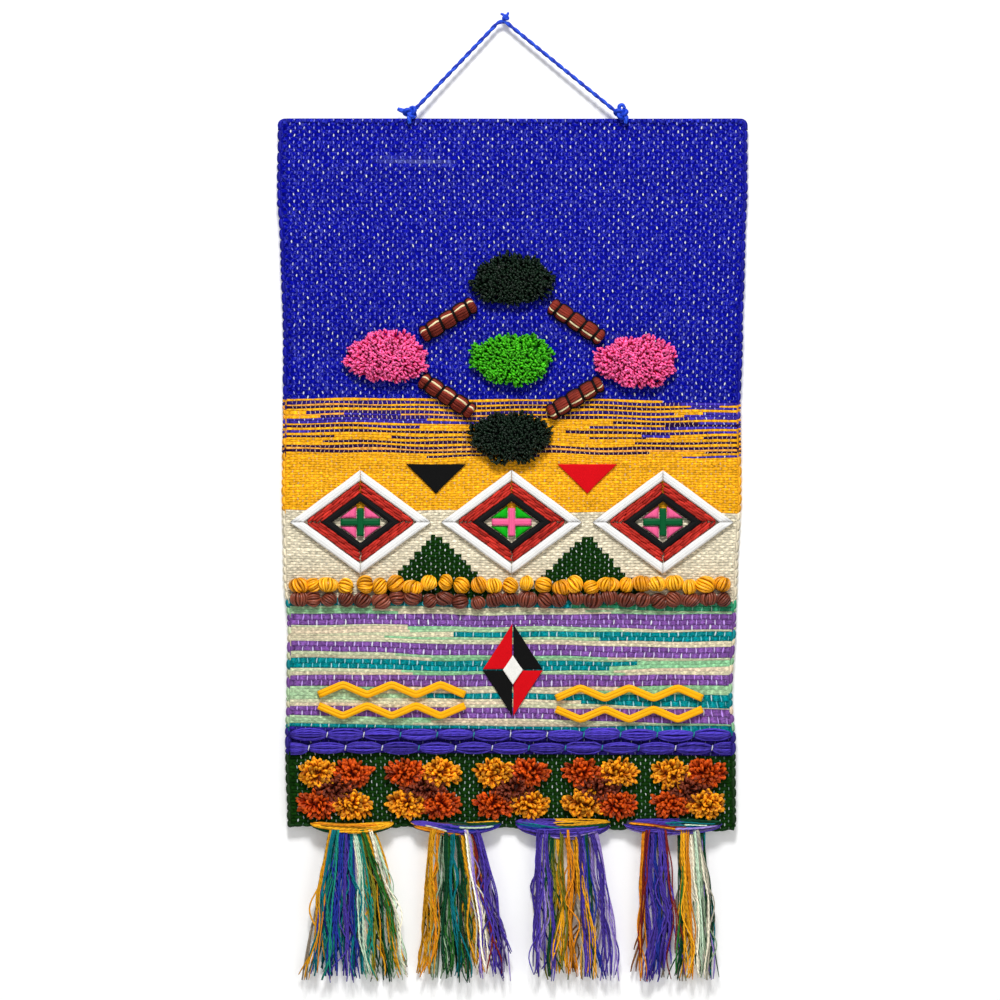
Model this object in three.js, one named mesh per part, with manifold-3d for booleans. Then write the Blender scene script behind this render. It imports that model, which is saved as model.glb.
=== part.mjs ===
// Woven wall hanging: a hand-woven cloth that hangs from one nail by a thin cord, with padded rolls and
// strips, felt, yarn knots, plaits and loop pile worked on its front and four tassels on its bottom edge.
//
// Millimetres, +Z up. The origin is where the nail bears on the cord. The front of the cloth faces -Y and
// the wall is at +Y. Places on the cloth are given as "across", to the right of its centre line, and
// "down", below its top edge; "proud" is the distance in front of the cloth's own front.

import * as THREE from "three";
import { mergeVertices } from "three/addons/utils/BufferGeometryUtils.js";
import Module from "manifold-3d";

const wasm = await Module();
wasm.setup();

// ---------------------------------------------------------------- driving dimensions

const GAP = 0.3; // clearance between neighbouring pieces

const PANEL = {
  centreX: 8.5, // the centre line hangs this far to the right of the nail
  topDrop: 81.5, // from the nail down to the top edge
  height: 609,
  thickness: 3,
  cornerRadius: 6,
  hemDepth: 14,
  hemSwell: 1.2, // extra thickness of the rolled top hem
  columns: 12,
  rows: 18,
};

// Half widths of the cloth to the left and right of its centre line, at depths below its top edge.
const PANEL_EDGES = [
  { down: 0, left: 201, right: 203 },
  { down: 60, left: 202, right: 203 },
  { down: 115, left: 199, right: 201 },
  { down: 185, left: 197, right: 199 },
  { down: 255, left: 197, right: 197 },
  { down: 320, left: 198, right: 198 },
  { down: 390, left: 197, right: 195 },
  { down: 435, left: 193, right: 193 },
  { down: 495, left: 194, right: 190 },
  { down: 540, left: 195, right: 193 },
  { down: 612, left: 193, right: 193 },
];

const BOTTOM_EDGE = { left: -1.5, right: 2.5 }; // how far the bottom edge hangs past the height

// The slow waves of the hanging cloth: how far the front moves, and over what lengths.
const WAVES = [
  { depth: 1.1, acrossLength: 390, downLength: 530, phase: 0.5 },
  { depth: 0.8, acrossLength: -640, downLength: 310, phase: 1.7 },
];

const CORD = { diameter: 3.6, sides: 8, steps: 40 };

// The cord's centre line, from the left knot over the nail to the right knot.
const CORD_ROUTE = [
  [-73.4, -3.0, -72.6],
  [-62.0, -2.6, -60.7],
  [-50.0, -2.1, -48.1],
  [-38.0, -1.6, -35.5],
  [-26.0, -1.1, -22.9],
  [-15.0, -0.6, -11.4],
  [-8.5, -0.3, -4.5],
  [-4.6, -0.1, -0.4],
  [-2.9, 0.0, 0.9],
  [-0.9, 0.0, 1.65],
  [1.2, 0.0, 1.8],
  [3.3, 0.0, 1.3],
  [5.2, -0.1, 0.2],
  [9.2, -0.3, -3.1],
  [16.0, -0.6, -8.7],
  [28.0, -1.1, -18.5],
  [42.0, -1.6, -29.9],
  [56.0, -2.0, -41.4],
  [70.0, -2.4, -52.8],
  [84.0, -2.8, -64.2],
  [97.5, -3.0, -75.2],
];

// The lumps of each knot: centre and half sizes.
const CORD_KNOTS = {
  cord_knot_left: [
    { at: [-77.8, -3.5, -76.2], half: [5.6, 4.6, 4.9] },
    { at: [-82.6, -3.2, -74.4], half: [3.6, 2.4, 2.4] },
    { at: [-86.4, -3.0, -73.2], half: [2.6, 2.6, 3.0] },
    { at: [-79.0, -4.8, -81.6], half: [2.6, 2.5, 4.4] },
  ],
  cord_knot_right: [
    { at: [102.4, -3.5, -77.3], half: [5.7, 4.4, 4.0] },
    { at: [102.6, -3.4, -72.2], half: [3.8, 2.6, 2.8] },
    { at: [105.6, -3.4, -81.0], half: [3.4, 2.8, 4.6] },
  ],
  cord_knot_top: [
    { at: [3.4, -1.0, 5.3], half: [2.7, 2.6, 2.4] },
    { at: [0.8, -1.2, 7.8], half: [2.5, 1.7, 1.6] },
    { at: [5.6, -1.4, 8.2], half: [1.7, 1.7, 2.3] },
  ],
};

const LIME = "#5fae2c";
const PINK = "#e2508c";
const DARK_GREEN = "#16301c";

const ROSETTE = { halfWidth: 38, halfHeight: 23, rise: 13, segments: 20, rings: 3 };
const ROSETTES = [
  { name: "centre", across: 0, down: 207, colour: LIME },
  { name: "left", across: -107, down: 205, colour: PINK },
  { name: "right", across: 107, down: 209, colour: PINK },
  { name: "top", across: 1, down: 139, colour: DARK_GREEN },
  { name: "bottom", across: -1, down: 274, colour: DARK_GREEN },
];

// Padded rolls between neighbouring rosettes, as shares of the way from one centre to the next.
const BROWN_ROLL = { halfWidth: 7, rise: 9, start: 0.31, end: 0.72, stretches: 4 };
const BROWN_ROLLS = [
  { name: "upper_left", from: "top", to: "left" },
  { name: "upper_right", from: "top", to: "right" },
  { name: "lower_left", from: "bottom", to: "left" },
  { name: "lower_right", from: "bottom", to: "right" },
];

const LOZENGE = {
  down: 347,
  pitch: 130,
  halfWidth: 61,
  halfHeight: 45,
  white: { width: 7.5, rise: 4 },
  soumakWidth: 8.5, // flat stitched band between the white strips and the black ring
  black: { width: 6, rise: 4 },
  stretchesPerSide: 2,
};
const LOZENGES = [
  { name: "left", place: -1, crossColour: "#0b5f36" },
  { name: "middle", place: 0, crossColour: "#dc5f88" },
  { name: "right", place: 1, crossColour: "#0b5f36" },
];
const LOZENGE_SIDES = ["upper_right", "lower_right", "lower_left", "upper_left"];
const CROSS = { halfLength: 17, halfHeight: 12, barWidth: 6, rise: 4 };

const FELT = { thickness: 1.5 };
const FELT_TRIANGLE = { across: 65, down: 297, halfWidth: 26, height: 26 };
const FELT_DIAMOND = { across: 1, down: 474, halfWidth: 26, halfHeight: 40, clear: 0.3 };
const FELT_CENTRE = { halfWidth: 9, halfHeight: 13 };

const KNOT_ROW = { count: 27, halfHeight: 5.8, rise: 9, left: -191, right: 189, waist: 0.55 };
const KNOT_ROWS = [
  { name: "mustard_knot_row", down: 401, colour: "#dd9418" },
  { name: "brown_knot_row", down: 413.4, colour: "#6b3a28" },
];

const ZIGZAG = { halfWidth: 3.2, rise: 4.5, depth: 9, peaks: 3, clear: 0.4 };
const CHAINS = [
  { name: "left", from: -166, to: -40, down: 500 },
  { name: "right", from: 38, to: 164, down: 503 },
];

const BRAID = { segments: 12, halfHeight: 5.4, rise: 6, left: -190, right: 188, waist: 0.7 };
const BRAIDS = [
  { name: "plait_upper", down: 529.6, shift: 0 },
  { name: "plait_lower", down: 541, shift: 0.5 },
];

// Posies of loop pile in a row: a heart, and four petals round it at the same distances to each side.
const FLOWER = { rise: 8, segments: 8, rings: 2 };
const POSIES = { count: 5, pitch: 76, across: 0, down: 576 };
const POSY_HEART = { halfWidth: 18, halfHeight: 9.5 };
const POSY_PETAL = { halfWidth: 16.5, halfHeight: 9.3, aside: 15, above: 13.5 };

// Tassels: the swag lies over the bottom edge, and the strands hang under it as a comb's teeth.
const SWAG = { down: 611.4, halfHeight: 6, sag: 1.5, rise: 9, tip: 0.25, stretches: 6 };
const STRANDS = { top: 613, end: 740, halfWidth: 4.4, rise: 5, sway: 1.5, stretches: 3 };
const TASSELS = [
  { name: "tassel_1", left: -171, right: -101, hanks: [{ teeth: 6, top: [-154, -122], end: [-172, -98] }] },
  { name: "tassel_2", left: -88, right: -8, hanks: [{ teeth: 6, top: [-66, -30], end: [-70, -8] }] },
  { name: "tassel_3", left: 4, right: 83, hanks: [{ teeth: 6, top: [27, 67], end: [21, 82] }] },
  {
    name: "tassel_4",
    left: 96,
    right: 180,
    hanks: [
      { teeth: 3, top: [114, 132], end: [110, 137] },
      { teeth: 3, top: [144, 162], end: [147, 172] },
    ],
  },
];

// ---------------------------------------------------------------- places on the cloth

function lerp(a, b, t) {
  return a + (b - a) * t;
}

function waveDepth(across, down) {
  const turn = 2 * Math.PI;
  return WAVES.reduce((sum, wave) => {
    const angle = turn * (across / wave.acrossLength + down / wave.downLength) + wave.phase;
    return sum + wave.depth * Math.sin(angle);
  }, 0);
}

// A point that lies "proud" in front of the cloth's front, or inside or behind it where negative.
function onCloth(across, down, proud) {
  const y = -PANEL.thickness / 2 + waveDepth(across, down) - proud;
  return [PANEL.centreX + across, y, -PANEL.topDrop - down];
}

function halfWidthAt(down, side) {
  const after = PANEL_EDGES.findIndex((row) => row.down >= down);
  if (after <= 0) return PANEL_EDGES[0][side];
  const above = PANEL_EDGES[after - 1];
  const below = PANEL_EDGES[after];
  const t = (down - above.down) / (below.down - above.down);
  return lerp(above[side], below[side], (1 - Math.cos(Math.PI * t)) / 2);
}

// ---------------------------------------------------------------- closed solids

function solidGeometry(points, faces) {
  const geometry = new THREE.BufferGeometry();
  geometry.setAttribute("position", new THREE.Float32BufferAttribute(points.flat(), 3));
  geometry.setIndex(faces.flat());
  geometry.computeVertexNormals();
  return geometry;
}

// Rings of equal point counts, joined in turn into a tube. An open tube gets a flat cap at both ends.
function ringSolid(rings, closed) {
  const size = rings[0].length;
  const stretches = closed ? rings.length : rings.length - 1;
  const faces = [];
  for (let i = 0; i < stretches; i += 1) {
    const next = ((i + 1) % rings.length) * size;
    for (let j = 0; j < size; j += 1) {
      const k = (j + 1) % size;
      faces.push([i * size + j, next + k, next + j]);
      faces.push([i * size + j, i * size + k, next + k]);
    }
  }
  const lastRing = (rings.length - 1) * size;
  for (let j = 1; !closed && j < size - 1; j += 1) {
    faces.push([0, j + 1, j]);
    faces.push([lastRing, lastRing + j, lastRing + j + 1]);
  }
  return solidGeometry(rings.flat(), faces);
}

// Round-topped sections, from the left foot over the crown to the right foot.
const FULL_PROFILE = [
  { side: 1, lift: 0 },
  { side: 1, lift: 0.45 },
  { side: 0.55, lift: 1 },
  { side: -0.55, lift: 1 },
  { side: -1, lift: 0.45 },
  { side: -1, lift: 0 },
];
const SLIM_PROFILE = [
  { side: 1, lift: 0 },
  { side: 0.6, lift: 1 },
  { side: -0.6, lift: 1 },
  { side: -1, lift: 0 },
];

// A roll that lies on the cloth; a station's "left" is the way from its middle to its left foot.
function crownedRoll(stations, closed = false, profile = FULL_PROFILE) {
  const rings = stations.map((station) =>
    profile.map(({ side, lift }) => {
      const across = station.across + side * station.left[0];
      const down = station.down + side * station.left[1];
      return onCloth(across, down, GAP + lift * station.rise);
    }),
  );
  return ringSolid(rings, closed);
}

// Stations along a straight or bent route; at a bend the section is mitred.
function routeStations(route, halfWidth, rise, closed = false) {
  const count = route.length;
  const direction = (a, b) => {
    const length = Math.hypot(b[0] - a[0], b[1] - a[1]);
    return [(b[0] - a[0]) / length, (b[1] - a[1]) / length];
  };
  return route.map((point, i) => {
    const before = closed || i > 0 ? direction(route[(i + count - 1) % count], point) : null;
    const after = closed || i < count - 1 ? direction(point, route[(i + 1) % count]) : null;
    const inward = before ?? after;
    const outward = after ?? before;
    const scale = halfWidth / (1 + inward[0] * outward[0] + inward[1] * outward[1]);
    const left = [(inward[1] + outward[1]) * scale, -(inward[0] + outward[0]) * scale];
    return { across: point[0], down: point[1], left, rise };
  });
}

function splitRoute(corners, stretches, closed = false) {
  const route = [];
  const sides = closed ? corners.length : corners.length - 1;
  for (let i = 0; i < sides; i += 1) {
    const from = corners[i];
    const to = corners[(i + 1) % corners.length];
    for (let k = 0; k < stretches; k += 1) {
      route.push([lerp(from[0], to[0], k / stretches), lerp(from[1], to[1], k / stretches)]);
    }
  }
  if (!closed) route.push(corners[corners.length - 1]);
  return route;
}

// A low dome with an oval foot that lies on the cloth.
function domeSolid({ across, down, halfWidth, halfHeight, rise, segments, rings }) {
  const points = [onCloth(across, down, GAP), onCloth(across, down, GAP + rise)];
  for (let r = 0; r < rings; r += 1) {
    const tilt = (Math.PI / 2) * (r / rings);
    for (let s = 0; s < segments; s += 1) {
      const angle = (2 * Math.PI * s) / segments;
      const x = across + halfWidth * Math.cos(tilt) * Math.cos(angle);
      const d = down - halfHeight * Math.cos(tilt) * Math.sin(angle);
      points.push(onCloth(x, d, GAP + rise * Math.sin(tilt)));
    }
  }
  const faces = [];
  const at = (r, s) => 2 + r * segments + (s % segments);
  for (let s = 0; s < segments; s += 1) {
    faces.push([0, at(0, s + 1), at(0, s)]);
    faces.push([1, at(rings - 1, s), at(rings - 1, s + 1)]);
    for (let r = 0; r < rings - 1; r += 1) {
      faces.push([at(r, s), at(r, s + 1), at(r + 1, s + 1)]);
      faces.push([at(r, s), at(r + 1, s + 1), at(r + 1, s)]);
    }
  }
  return solidGeometry(points, faces);
}

// A flat piece with straight sides that lies on the cloth, such as felt; its corners run clockwise.
function flatSolid(corners, thickness, proud = GAP) {
  const size = corners.length;
  const backs = corners.map(([across, down]) => onCloth(across, down, proud));
  const fronts = corners.map(([across, down]) => onCloth(across, down, proud + thickness));
  const outline = corners.map(([across, down]) => new THREE.Vector2(across, -down));
  const faces = [];
  for (const triangle of THREE.ShapeUtils.triangulateShape(outline, [])) {
    const [a, b, c] = triangle;
    faces.push([size + a, size + b, size + c]);
    faces.push([a, c, b]);
  }
  for (let i = 0; i < size; i += 1) {
    const k = (i + 1) % size;
    faces.push([i, size + k, k]);
    faces.push([i, size + i, size + k]);
  }
  return solidGeometry([...backs, ...fronts], faces);
}

function toManifold(geometry) {
  const bare = geometry.clone();
  bare.deleteAttribute("normal");
  bare.deleteAttribute("uv");
  const merged = mergeVertices(bare, 1e-4);
  return new wasm.Manifold(
    new wasm.Mesh({
      numProp: 3,
      vertProperties: new Float32Array(merged.attributes.position.array),
      triVerts: new Uint32Array(merged.index.array),
    }),
  );
}

function joined(geometries) {
  const whole = geometries.map(toManifold).reduce((sum, next) => sum.add(next));
  const mesh = whole.getMesh();
  const geometry = new THREE.BufferGeometry();
  geometry.setAttribute("position", new THREE.BufferAttribute(new Float32Array(mesh.vertProperties), 3));
  geometry.setIndex(new THREE.BufferAttribute(new Uint32Array(mesh.triVerts), 1));
  geometry.computeVertexNormals();
  return geometry;
}

// ---------------------------------------------------------------- the model

const hanging = new THREE.Group();

function addPiece(name, geometry, colour, roughness = 0.9) {
  const material = new THREE.MeshStandardMaterial({ color: colour, roughness, metalness: 0 });
  const mesh = new THREE.Mesh(geometry, material);
  mesh.name = name;
  hanging.add(mesh);
}

// How far down the rounded top corner starts at a distance in from the side edge.
function cornerDrop(distance) {
  const inside = Math.max(0, PANEL.cornerRadius - distance);
  return PANEL.cornerRadius - Math.sqrt(PANEL.cornerRadius ** 2 - inside ** 2);
}

function clothPanel() {
  const corner = [0, 0.005];
  const middle = Array.from({ length: PANEL.columns - 1 }, (_, i) => (i + 1) / PANEL.columns);
  const shares = [...corner, ...middle, ...corner.map((share) => 1 - share).reverse()];
  const width = halfWidthAt(0, "left") + halfWidthAt(0, "right");

  const pointAt = (share, level, behind) => {
    const sag = lerp(BOTTOM_EDGE.left, BOTTOM_EDGE.right, share);
    const start = cornerDrop(width * Math.min(share, 1 - share));
    const down = lerp(start, PANEL.height + sag, level / PANEL.rows);
    const across = lerp(-halfWidthAt(down, "left"), halfWidthAt(down, "right"), share);
    const hem = Math.max(0, 1 - down / PANEL.hemDepth) * PANEL.hemSwell;
    return onCloth(across, down, behind ? -PANEL.thickness - hem : 0);
  };

  // One closed ring around the cloth for each level: along the front, then back behind it.
  const rings = [];
  for (let level = 0; level <= PANEL.rows; level += 1) {
    const fronts = shares.map((share) => pointAt(share, level, false));
    const backs = shares.map((share) => pointAt(share, level, true)).reverse();
    rings.push([...fronts, ...backs]);
  }
  return panelSolid(rings, shares.length);
}

// Joins the rings of the cloth and closes its top and bottom edges with quads between front and back.
function panelSolid(rings, columns) {
  const size = 2 * columns;
  const faces = [];
  for (let i = 0; i < rings.length - 1; i += 1) {
    for (let j = 0; j < size; j += 1) {
      const k = (j + 1) % size;
      faces.push([i * size + j, (i + 1) * size + j, (i + 1) * size + k]);
      faces.push([i * size + j, (i + 1) * size + k, i * size + k]);
    }
  }
  const last = (rings.length - 1) * size;
  for (let j = 0; j < columns - 1; j += 1) {
    const back = size - 1 - j;
    faces.push([j, j + 1, back - 1]);
    faces.push([j, back - 1, back]);
    faces.push([last + j, last + back - 1, last + j + 1]);
    faces.push([last + j, last + back, last + back - 1]);
  }
  return solidGeometry(rings.flat(), faces);
}

function hangingCord() {
  const radius = CORD.diameter / 2;
  const section = new THREE.Shape();
  for (let i = 0; i < CORD.sides; i += 1) {
    const angle = (2 * Math.PI * i) / CORD.sides;
    const corner = [radius * Math.cos(angle), radius * Math.sin(angle)];
    if (i === 0) section.moveTo(...corner);
    else section.lineTo(...corner);
  }
  section.closePath();
  const route = new THREE.CatmullRomCurve3(CORD_ROUTE.map((point) => new THREE.Vector3(...point)));
  return new THREE.ExtrudeGeometry(section, {
    extrudePath: route,
    steps: CORD.steps,
    bevelEnabled: false,
  });
}

function knotSolid(lumps) {
  return joined(
    lumps.map(({ at, half }) => {
      const lump = new THREE.SphereGeometry(1, 8, 5);
      lump.scale(...half);
      lump.translate(...at);
      return lump;
    }),
  );
}

function brownRoll({ from, to }) {
  const start = ROSETTES.find(({ name }) => name === from);
  const end = ROSETTES.find(({ name }) => name === to);
  const along = (share) => [lerp(start.across, end.across, share), lerp(start.down, end.down, share)];
  const route = splitRoute([along(BROWN_ROLL.start), along(BROWN_ROLL.end)], BROWN_ROLL.stretches);
  return crownedRoll(routeStations(route, BROWN_ROLL.halfWidth, BROWN_ROLL.rise));
}

// Corners of a lozenge inset from the outline by a distance measured square to its sides.
function lozengeCorners(across, inset) {
  const { halfWidth, halfHeight, down } = LOZENGE;
  const toSide = (halfWidth * halfHeight) / Math.hypot(halfWidth, halfHeight);
  const share = 1 - inset / toSide;
  return [
    [across, down - halfHeight * share],
    [across + halfWidth * share, down],
    [across, down + halfHeight * share],
    [across - halfWidth * share, down],
  ];
}

function lozengeStations(across, inset, { width, rise }) {
  const corners = lozengeCorners(across, inset + width / 2);
  const route = splitRoute(corners, LOZENGE.stretchesPerSide, true);
  return routeStations(route, width / 2, rise, true);
}

// One side of a lozenge's outline, mitred at both ends and pulled back a little from the next sides.
function lozengeStrip(stations, side) {
  const first = side * LOZENGE.stretchesPerSide;
  const strip = Array.from({ length: LOZENGE.stretchesPerSide + 1 }, (_, k) => ({
    ...stations[(first + k) % stations.length],
  }));
  const last = strip[strip.length - 1];
  const length = Math.hypot(last.across - strip[0].across, last.down - strip[0].down);
  const step = [(last.across - strip[0].across) / length, (last.down - strip[0].down) / length];
  for (const [station, sign] of [[strip[0], 1], [last, -1]]) {
    station.across += sign * GAP * step[0];
    station.down += sign * GAP * step[1];
  }
  return crownedRoll(strip);
}

function crossSolid(across) {
  const { halfLength, halfHeight, barWidth, rise } = CROSS;
  const half = barWidth / 2;
  const quarter = [
    [half, -halfHeight],
    [half, -half],
    [halfLength, -half],
  ];
  const right = [...quarter, ...quarter.map(([x, d]) => [x, -d]).reverse()];
  const corners = [...right, ...right.map(([x, d]) => [-x, -d])];
  return flatSolid(corners.map(([x, d]) => [across + x, LOZENGE.down + d]), rise);
}

function feltTriangle(side) {
  const { across, down, halfWidth, height } = FELT_TRIANGLE;
  const middle = side * across;
  const corners = [
    [middle - halfWidth, down],
    [middle + halfWidth, down],
    [middle, down + height],
  ];
  return flatSolid(corners, FELT.thickness);
}

// One quarter of the felt diamond, kept clear of the other quarters.
function feltQuarter(sideways, upDown) {
  const { across, down, halfWidth, halfHeight, clear } = FELT_DIAMOND;
  const corners = [
    [across + sideways * clear, down + upDown * clear],
    [across + sideways * halfWidth, down + upDown * clear],
    [across + sideways * clear, down + upDown * halfHeight],
  ];
  return flatSolid(sideways * upDown > 0 ? corners : corners.reverse(), FELT.thickness);
}

function feltCentre() {
  const { across, down } = FELT_DIAMOND;
  const { halfWidth, halfHeight } = FELT_CENTRE;
  const corners = [
    [across, down - halfHeight],
    [across + halfWidth, down],
    [across, down + halfHeight],
    [across - halfWidth, down],
  ];
  return flatSolid(corners, FELT.thickness, 2 * GAP + FELT.thickness);
}

// A row of bulges along a level line: the section swells at each bulge and narrows between them.
function bulgedRow({ count, halfHeight, rise, left, right, waist }, down, shift = 0) {
  const perBulge = 2;
  const stations = [];
  for (let i = 0; i <= count * perBulge; i += 1) {
    const share = i / (count * perBulge);
    const swell = lerp(waist, 1, Math.abs(Math.sin(Math.PI * (share * count + shift))));
    const route = { across: lerp(left, right, share), down };
    stations.push({ ...route, left: [0, -halfHeight * swell], rise: rise * swell });
  }
  return crownedRoll(stations, false, SLIM_PROFILE);
}

function zigzag({ from, to, down }, upDown) {
  const { halfWidth, rise, depth, peaks, clear } = ZIGZAG;
  const reach = halfWidth * Math.hypot(1, (4 * peaks * depth) / (to - from));
  const corners = Array.from({ length: 2 * peaks + 1 }, (_, i) => {
    const away = i % 2 === 0 ? reach + clear : reach + clear + depth;
    return [lerp(from, to, i / (2 * peaks)), down + upDown * away];
  });
  return crownedRoll(routeStations(corners, halfWidth, rise));
}

function posySolid(across) {
  const { aside, above } = POSY_PETAL;
  const petals = [[-1, -1], [1, -1], [1, 1], [-1, 1]].map(([right, below]) => ({
    ...POSY_PETAL, across: across + right * aside, down: POSIES.down + below * above,
  }));
  const patches = [{ ...POSY_HEART, across, down: POSIES.down }, ...petals];
  return joined(patches.map((patch) => domeSolid({ ...patch, ...FLOWER })));
}

function swagSolid({ left, right }) {
  const stations = Array.from({ length: SWAG.stretches + 1 }, (_, i) => {
    const share = i / SWAG.stretches;
    const swell = lerp(SWAG.tip, 1, Math.sin(Math.PI * share));
    return {
      across: lerp(left, right, share),
      down: SWAG.down + SWAG.sag * Math.sin(Math.PI * share),
      left: [0, -SWAG.halfHeight * swell],
      rise: SWAG.rise * swell,
    };
  });
  return crownedRoll(stations);
}

// One tooth of a tassel's comb: a bunch of strands that sways a little on its way down.
function strandBunch(top, end, phase) {
  const stations = Array.from({ length: STRANDS.stretches + 1 }, (_, i) => {
    const share = i / STRANDS.stretches;
    const sway = STRANDS.sway * Math.sin(2 * Math.PI * share + phase) * share;
    return {
      across: lerp(top, end, share ** 0.8) + sway,
      down: lerp(STRANDS.top, STRANDS.end, share),
      left: [STRANDS.halfWidth, 0],
      rise: STRANDS.rise,
    };
  });
  return crownedRoll(stations, false, SLIM_PROFILE);
}

function tasselSolid(tassel) {
  const bunches = tassel.hanks.flatMap(({ teeth, top, end }) =>
    Array.from({ length: teeth }, (_, i) => {
      const share = i / (teeth - 1);
      return strandBunch(lerp(top[0], top[1], share), lerp(end[0], end[1], share), 1.9 * i);
    }),
  );
  return joined([swagSolid(tassel), ...bunches]);
}

addPiece("cloth_panel", clothPanel(), "#2d2f9c");
addPiece("hanging_cord", hangingCord(), "#2437b4", 0.8);
for (const [name, lumps] of Object.entries(CORD_KNOTS)) {
  addPiece(name, knotSolid(lumps), "#2a40c4", 0.8);
}
for (const rosette of ROSETTES) {
  addPiece(`pile_rosette_${rosette.name}`, domeSolid({ ...ROSETTE, ...rosette }), rosette.colour, 1);
}
for (const roll of BROWN_ROLLS) {
  addPiece(`brown_roll_${roll.name}`, brownRoll(roll), "#70281c");
}
for (const { name, place, crossColour } of LOZENGES) {
  const across = place * LOZENGE.pitch;
  const whites = lozengeStations(across, 0, LOZENGE.white);
  LOZENGE_SIDES.forEach((side, i) => {
    addPiece(`lozenge_${name}_white_${side}`, lozengeStrip(whites, i), "#f0f0ee");
  });
  const blackInset = LOZENGE.white.width + LOZENGE.soumakWidth;
  const blacks = lozengeStations(across, blackInset, LOZENGE.black);
  addPiece(`lozenge_${name}_black_ring`, crownedRoll(blacks, true), "#171818");
  addPiece(`lozenge_${name}_cross`, crossSolid(across), crossColour);
}
addPiece("felt_triangle_left", feltTriangle(-1), "#171717");
addPiece("felt_triangle_right", feltTriangle(1), "#dc1620");
addPiece("felt_quarter_upper_left", feltQuarter(-1, -1), "#dc1620");
addPiece("felt_quarter_upper_right", feltQuarter(1, -1), "#171717");
addPiece("felt_quarter_lower_left", feltQuarter(-1, 1), "#171717");
addPiece("felt_quarter_lower_right", feltQuarter(1, 1), "#dc1620");
addPiece("felt_centre_lozenge", feltCentre(), "#f2f0ea");
for (const { name, down, colour } of KNOT_ROWS) {
  addPiece(name, bulgedRow(KNOT_ROW, down), colour);
}
for (const chain of CHAINS) {
  addPiece(`yellow_chain_${chain.name}_upper`, zigzag(chain, -1), "#f2ae0c");
  addPiece(`yellow_chain_${chain.name}_lower`, zigzag(chain, 1), "#f2ae0c");
}
for (const { name, down, shift } of BRAIDS) {
  addPiece(name, bulgedRow({ ...BRAID, count: BRAID.segments }, down, shift), "#4434a4");
}
for (let i = 0; i < POSIES.count; i += 1) {
  const across = POSIES.across + POSIES.pitch * (i - (POSIES.count - 1) / 2);
  addPiece(`flower_cluster_${i + 1}`, posySolid(across), "#c0641c", 1);
}
for (const tassel of TASSELS) {
  addPiece(tassel.name, tasselSolid(tassel), "#5a48a0");
}

export default hanging;
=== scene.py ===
"""Woven wall hanging: a cloth woven in stripes that hangs from one nail by a twisted cord, with loop pile,
bound rolls, padded lozenges, felt, yarn knots, plaits and four tassels worked on its front.

Places on the cloth are given in millimetres as "across", to the right of its centre line, and "down", below
its top edge; "proud" is the distance in front of the cloth's own front. Meshes are in metres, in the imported
frame: +Z up, the front towards -Y, the nail at the origin.
"""

import bpy
import numpy as np
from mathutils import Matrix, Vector


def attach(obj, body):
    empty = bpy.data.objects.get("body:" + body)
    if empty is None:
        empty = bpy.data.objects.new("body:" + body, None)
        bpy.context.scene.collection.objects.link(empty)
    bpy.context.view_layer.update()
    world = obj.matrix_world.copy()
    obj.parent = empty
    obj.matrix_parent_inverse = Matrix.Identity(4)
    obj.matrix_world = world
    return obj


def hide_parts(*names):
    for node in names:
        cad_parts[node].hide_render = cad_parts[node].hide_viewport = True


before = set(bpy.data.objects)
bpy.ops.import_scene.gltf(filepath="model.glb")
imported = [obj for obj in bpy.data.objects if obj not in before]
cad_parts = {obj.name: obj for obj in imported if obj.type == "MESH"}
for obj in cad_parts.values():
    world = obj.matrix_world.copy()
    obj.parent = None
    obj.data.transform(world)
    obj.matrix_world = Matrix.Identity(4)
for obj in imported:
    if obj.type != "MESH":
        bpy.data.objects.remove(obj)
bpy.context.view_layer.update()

MM = 0.001
GAP = 0.3
RIGHT = np.array([1.0, 0.0, 0.0])
FRONT = np.array([0.0, -1.0, 0.0])
WALL_SIDE = -FRONT

# ---------------- driving sizes, as in the part's source

PANEL = {
    "centre_x": 8.5, "top_drop": 81.5, "height": 609.0, "thickness": 3.0, "corner_radius": 6.0, "hem_depth": 14.0,
    "hem_swell": 1.2,
}
EDGE_DEPTHS = np.array([0.0, 60, 115, 185, 255, 320, 390, 435, 495, 540, 612])
EDGE_LEFT = np.array([201.0, 202, 199, 197, 197, 198, 197, 193, 194, 195, 193])
EDGE_RIGHT = np.array([203.0, 203, 201, 199, 197, 198, 195, 193, 190, 193, 193])
BOTTOM_EDGE = (-1.5, 2.5)
SELVEDGE = 2.1
WAVES = [(1.1, 390, 530, 0.5), (0.8, -640, 310, 1.7)]

CORD_ROUTE = [
    (-73.4, -3.0, -72.6), (-62.0, -2.6, -60.7), (-50.0, -2.1, -48.1), (-38.0, -1.6, -35.5),
    (-26.0, -1.1, -22.9), (-15.0, -0.6, -11.4), (-8.5, -0.3, -4.5), (-4.6, -0.1, -0.4),
    (-2.9, 0.0, 0.9), (-0.9, 0.0, 1.65), (1.2, 0.0, 1.8), (3.3, 0.0, 1.3), (5.2, -0.1, 0.2),
    (9.2, -0.3, -3.1), (16.0, -0.6, -8.7), (28.0, -1.1, -18.5), (42.0, -1.6, -29.9),
    (56.0, -2.0, -41.4), (70.0, -2.4, -52.8), (84.0, -2.8, -64.2), (97.5, -3.0, -75.2),
]

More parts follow.
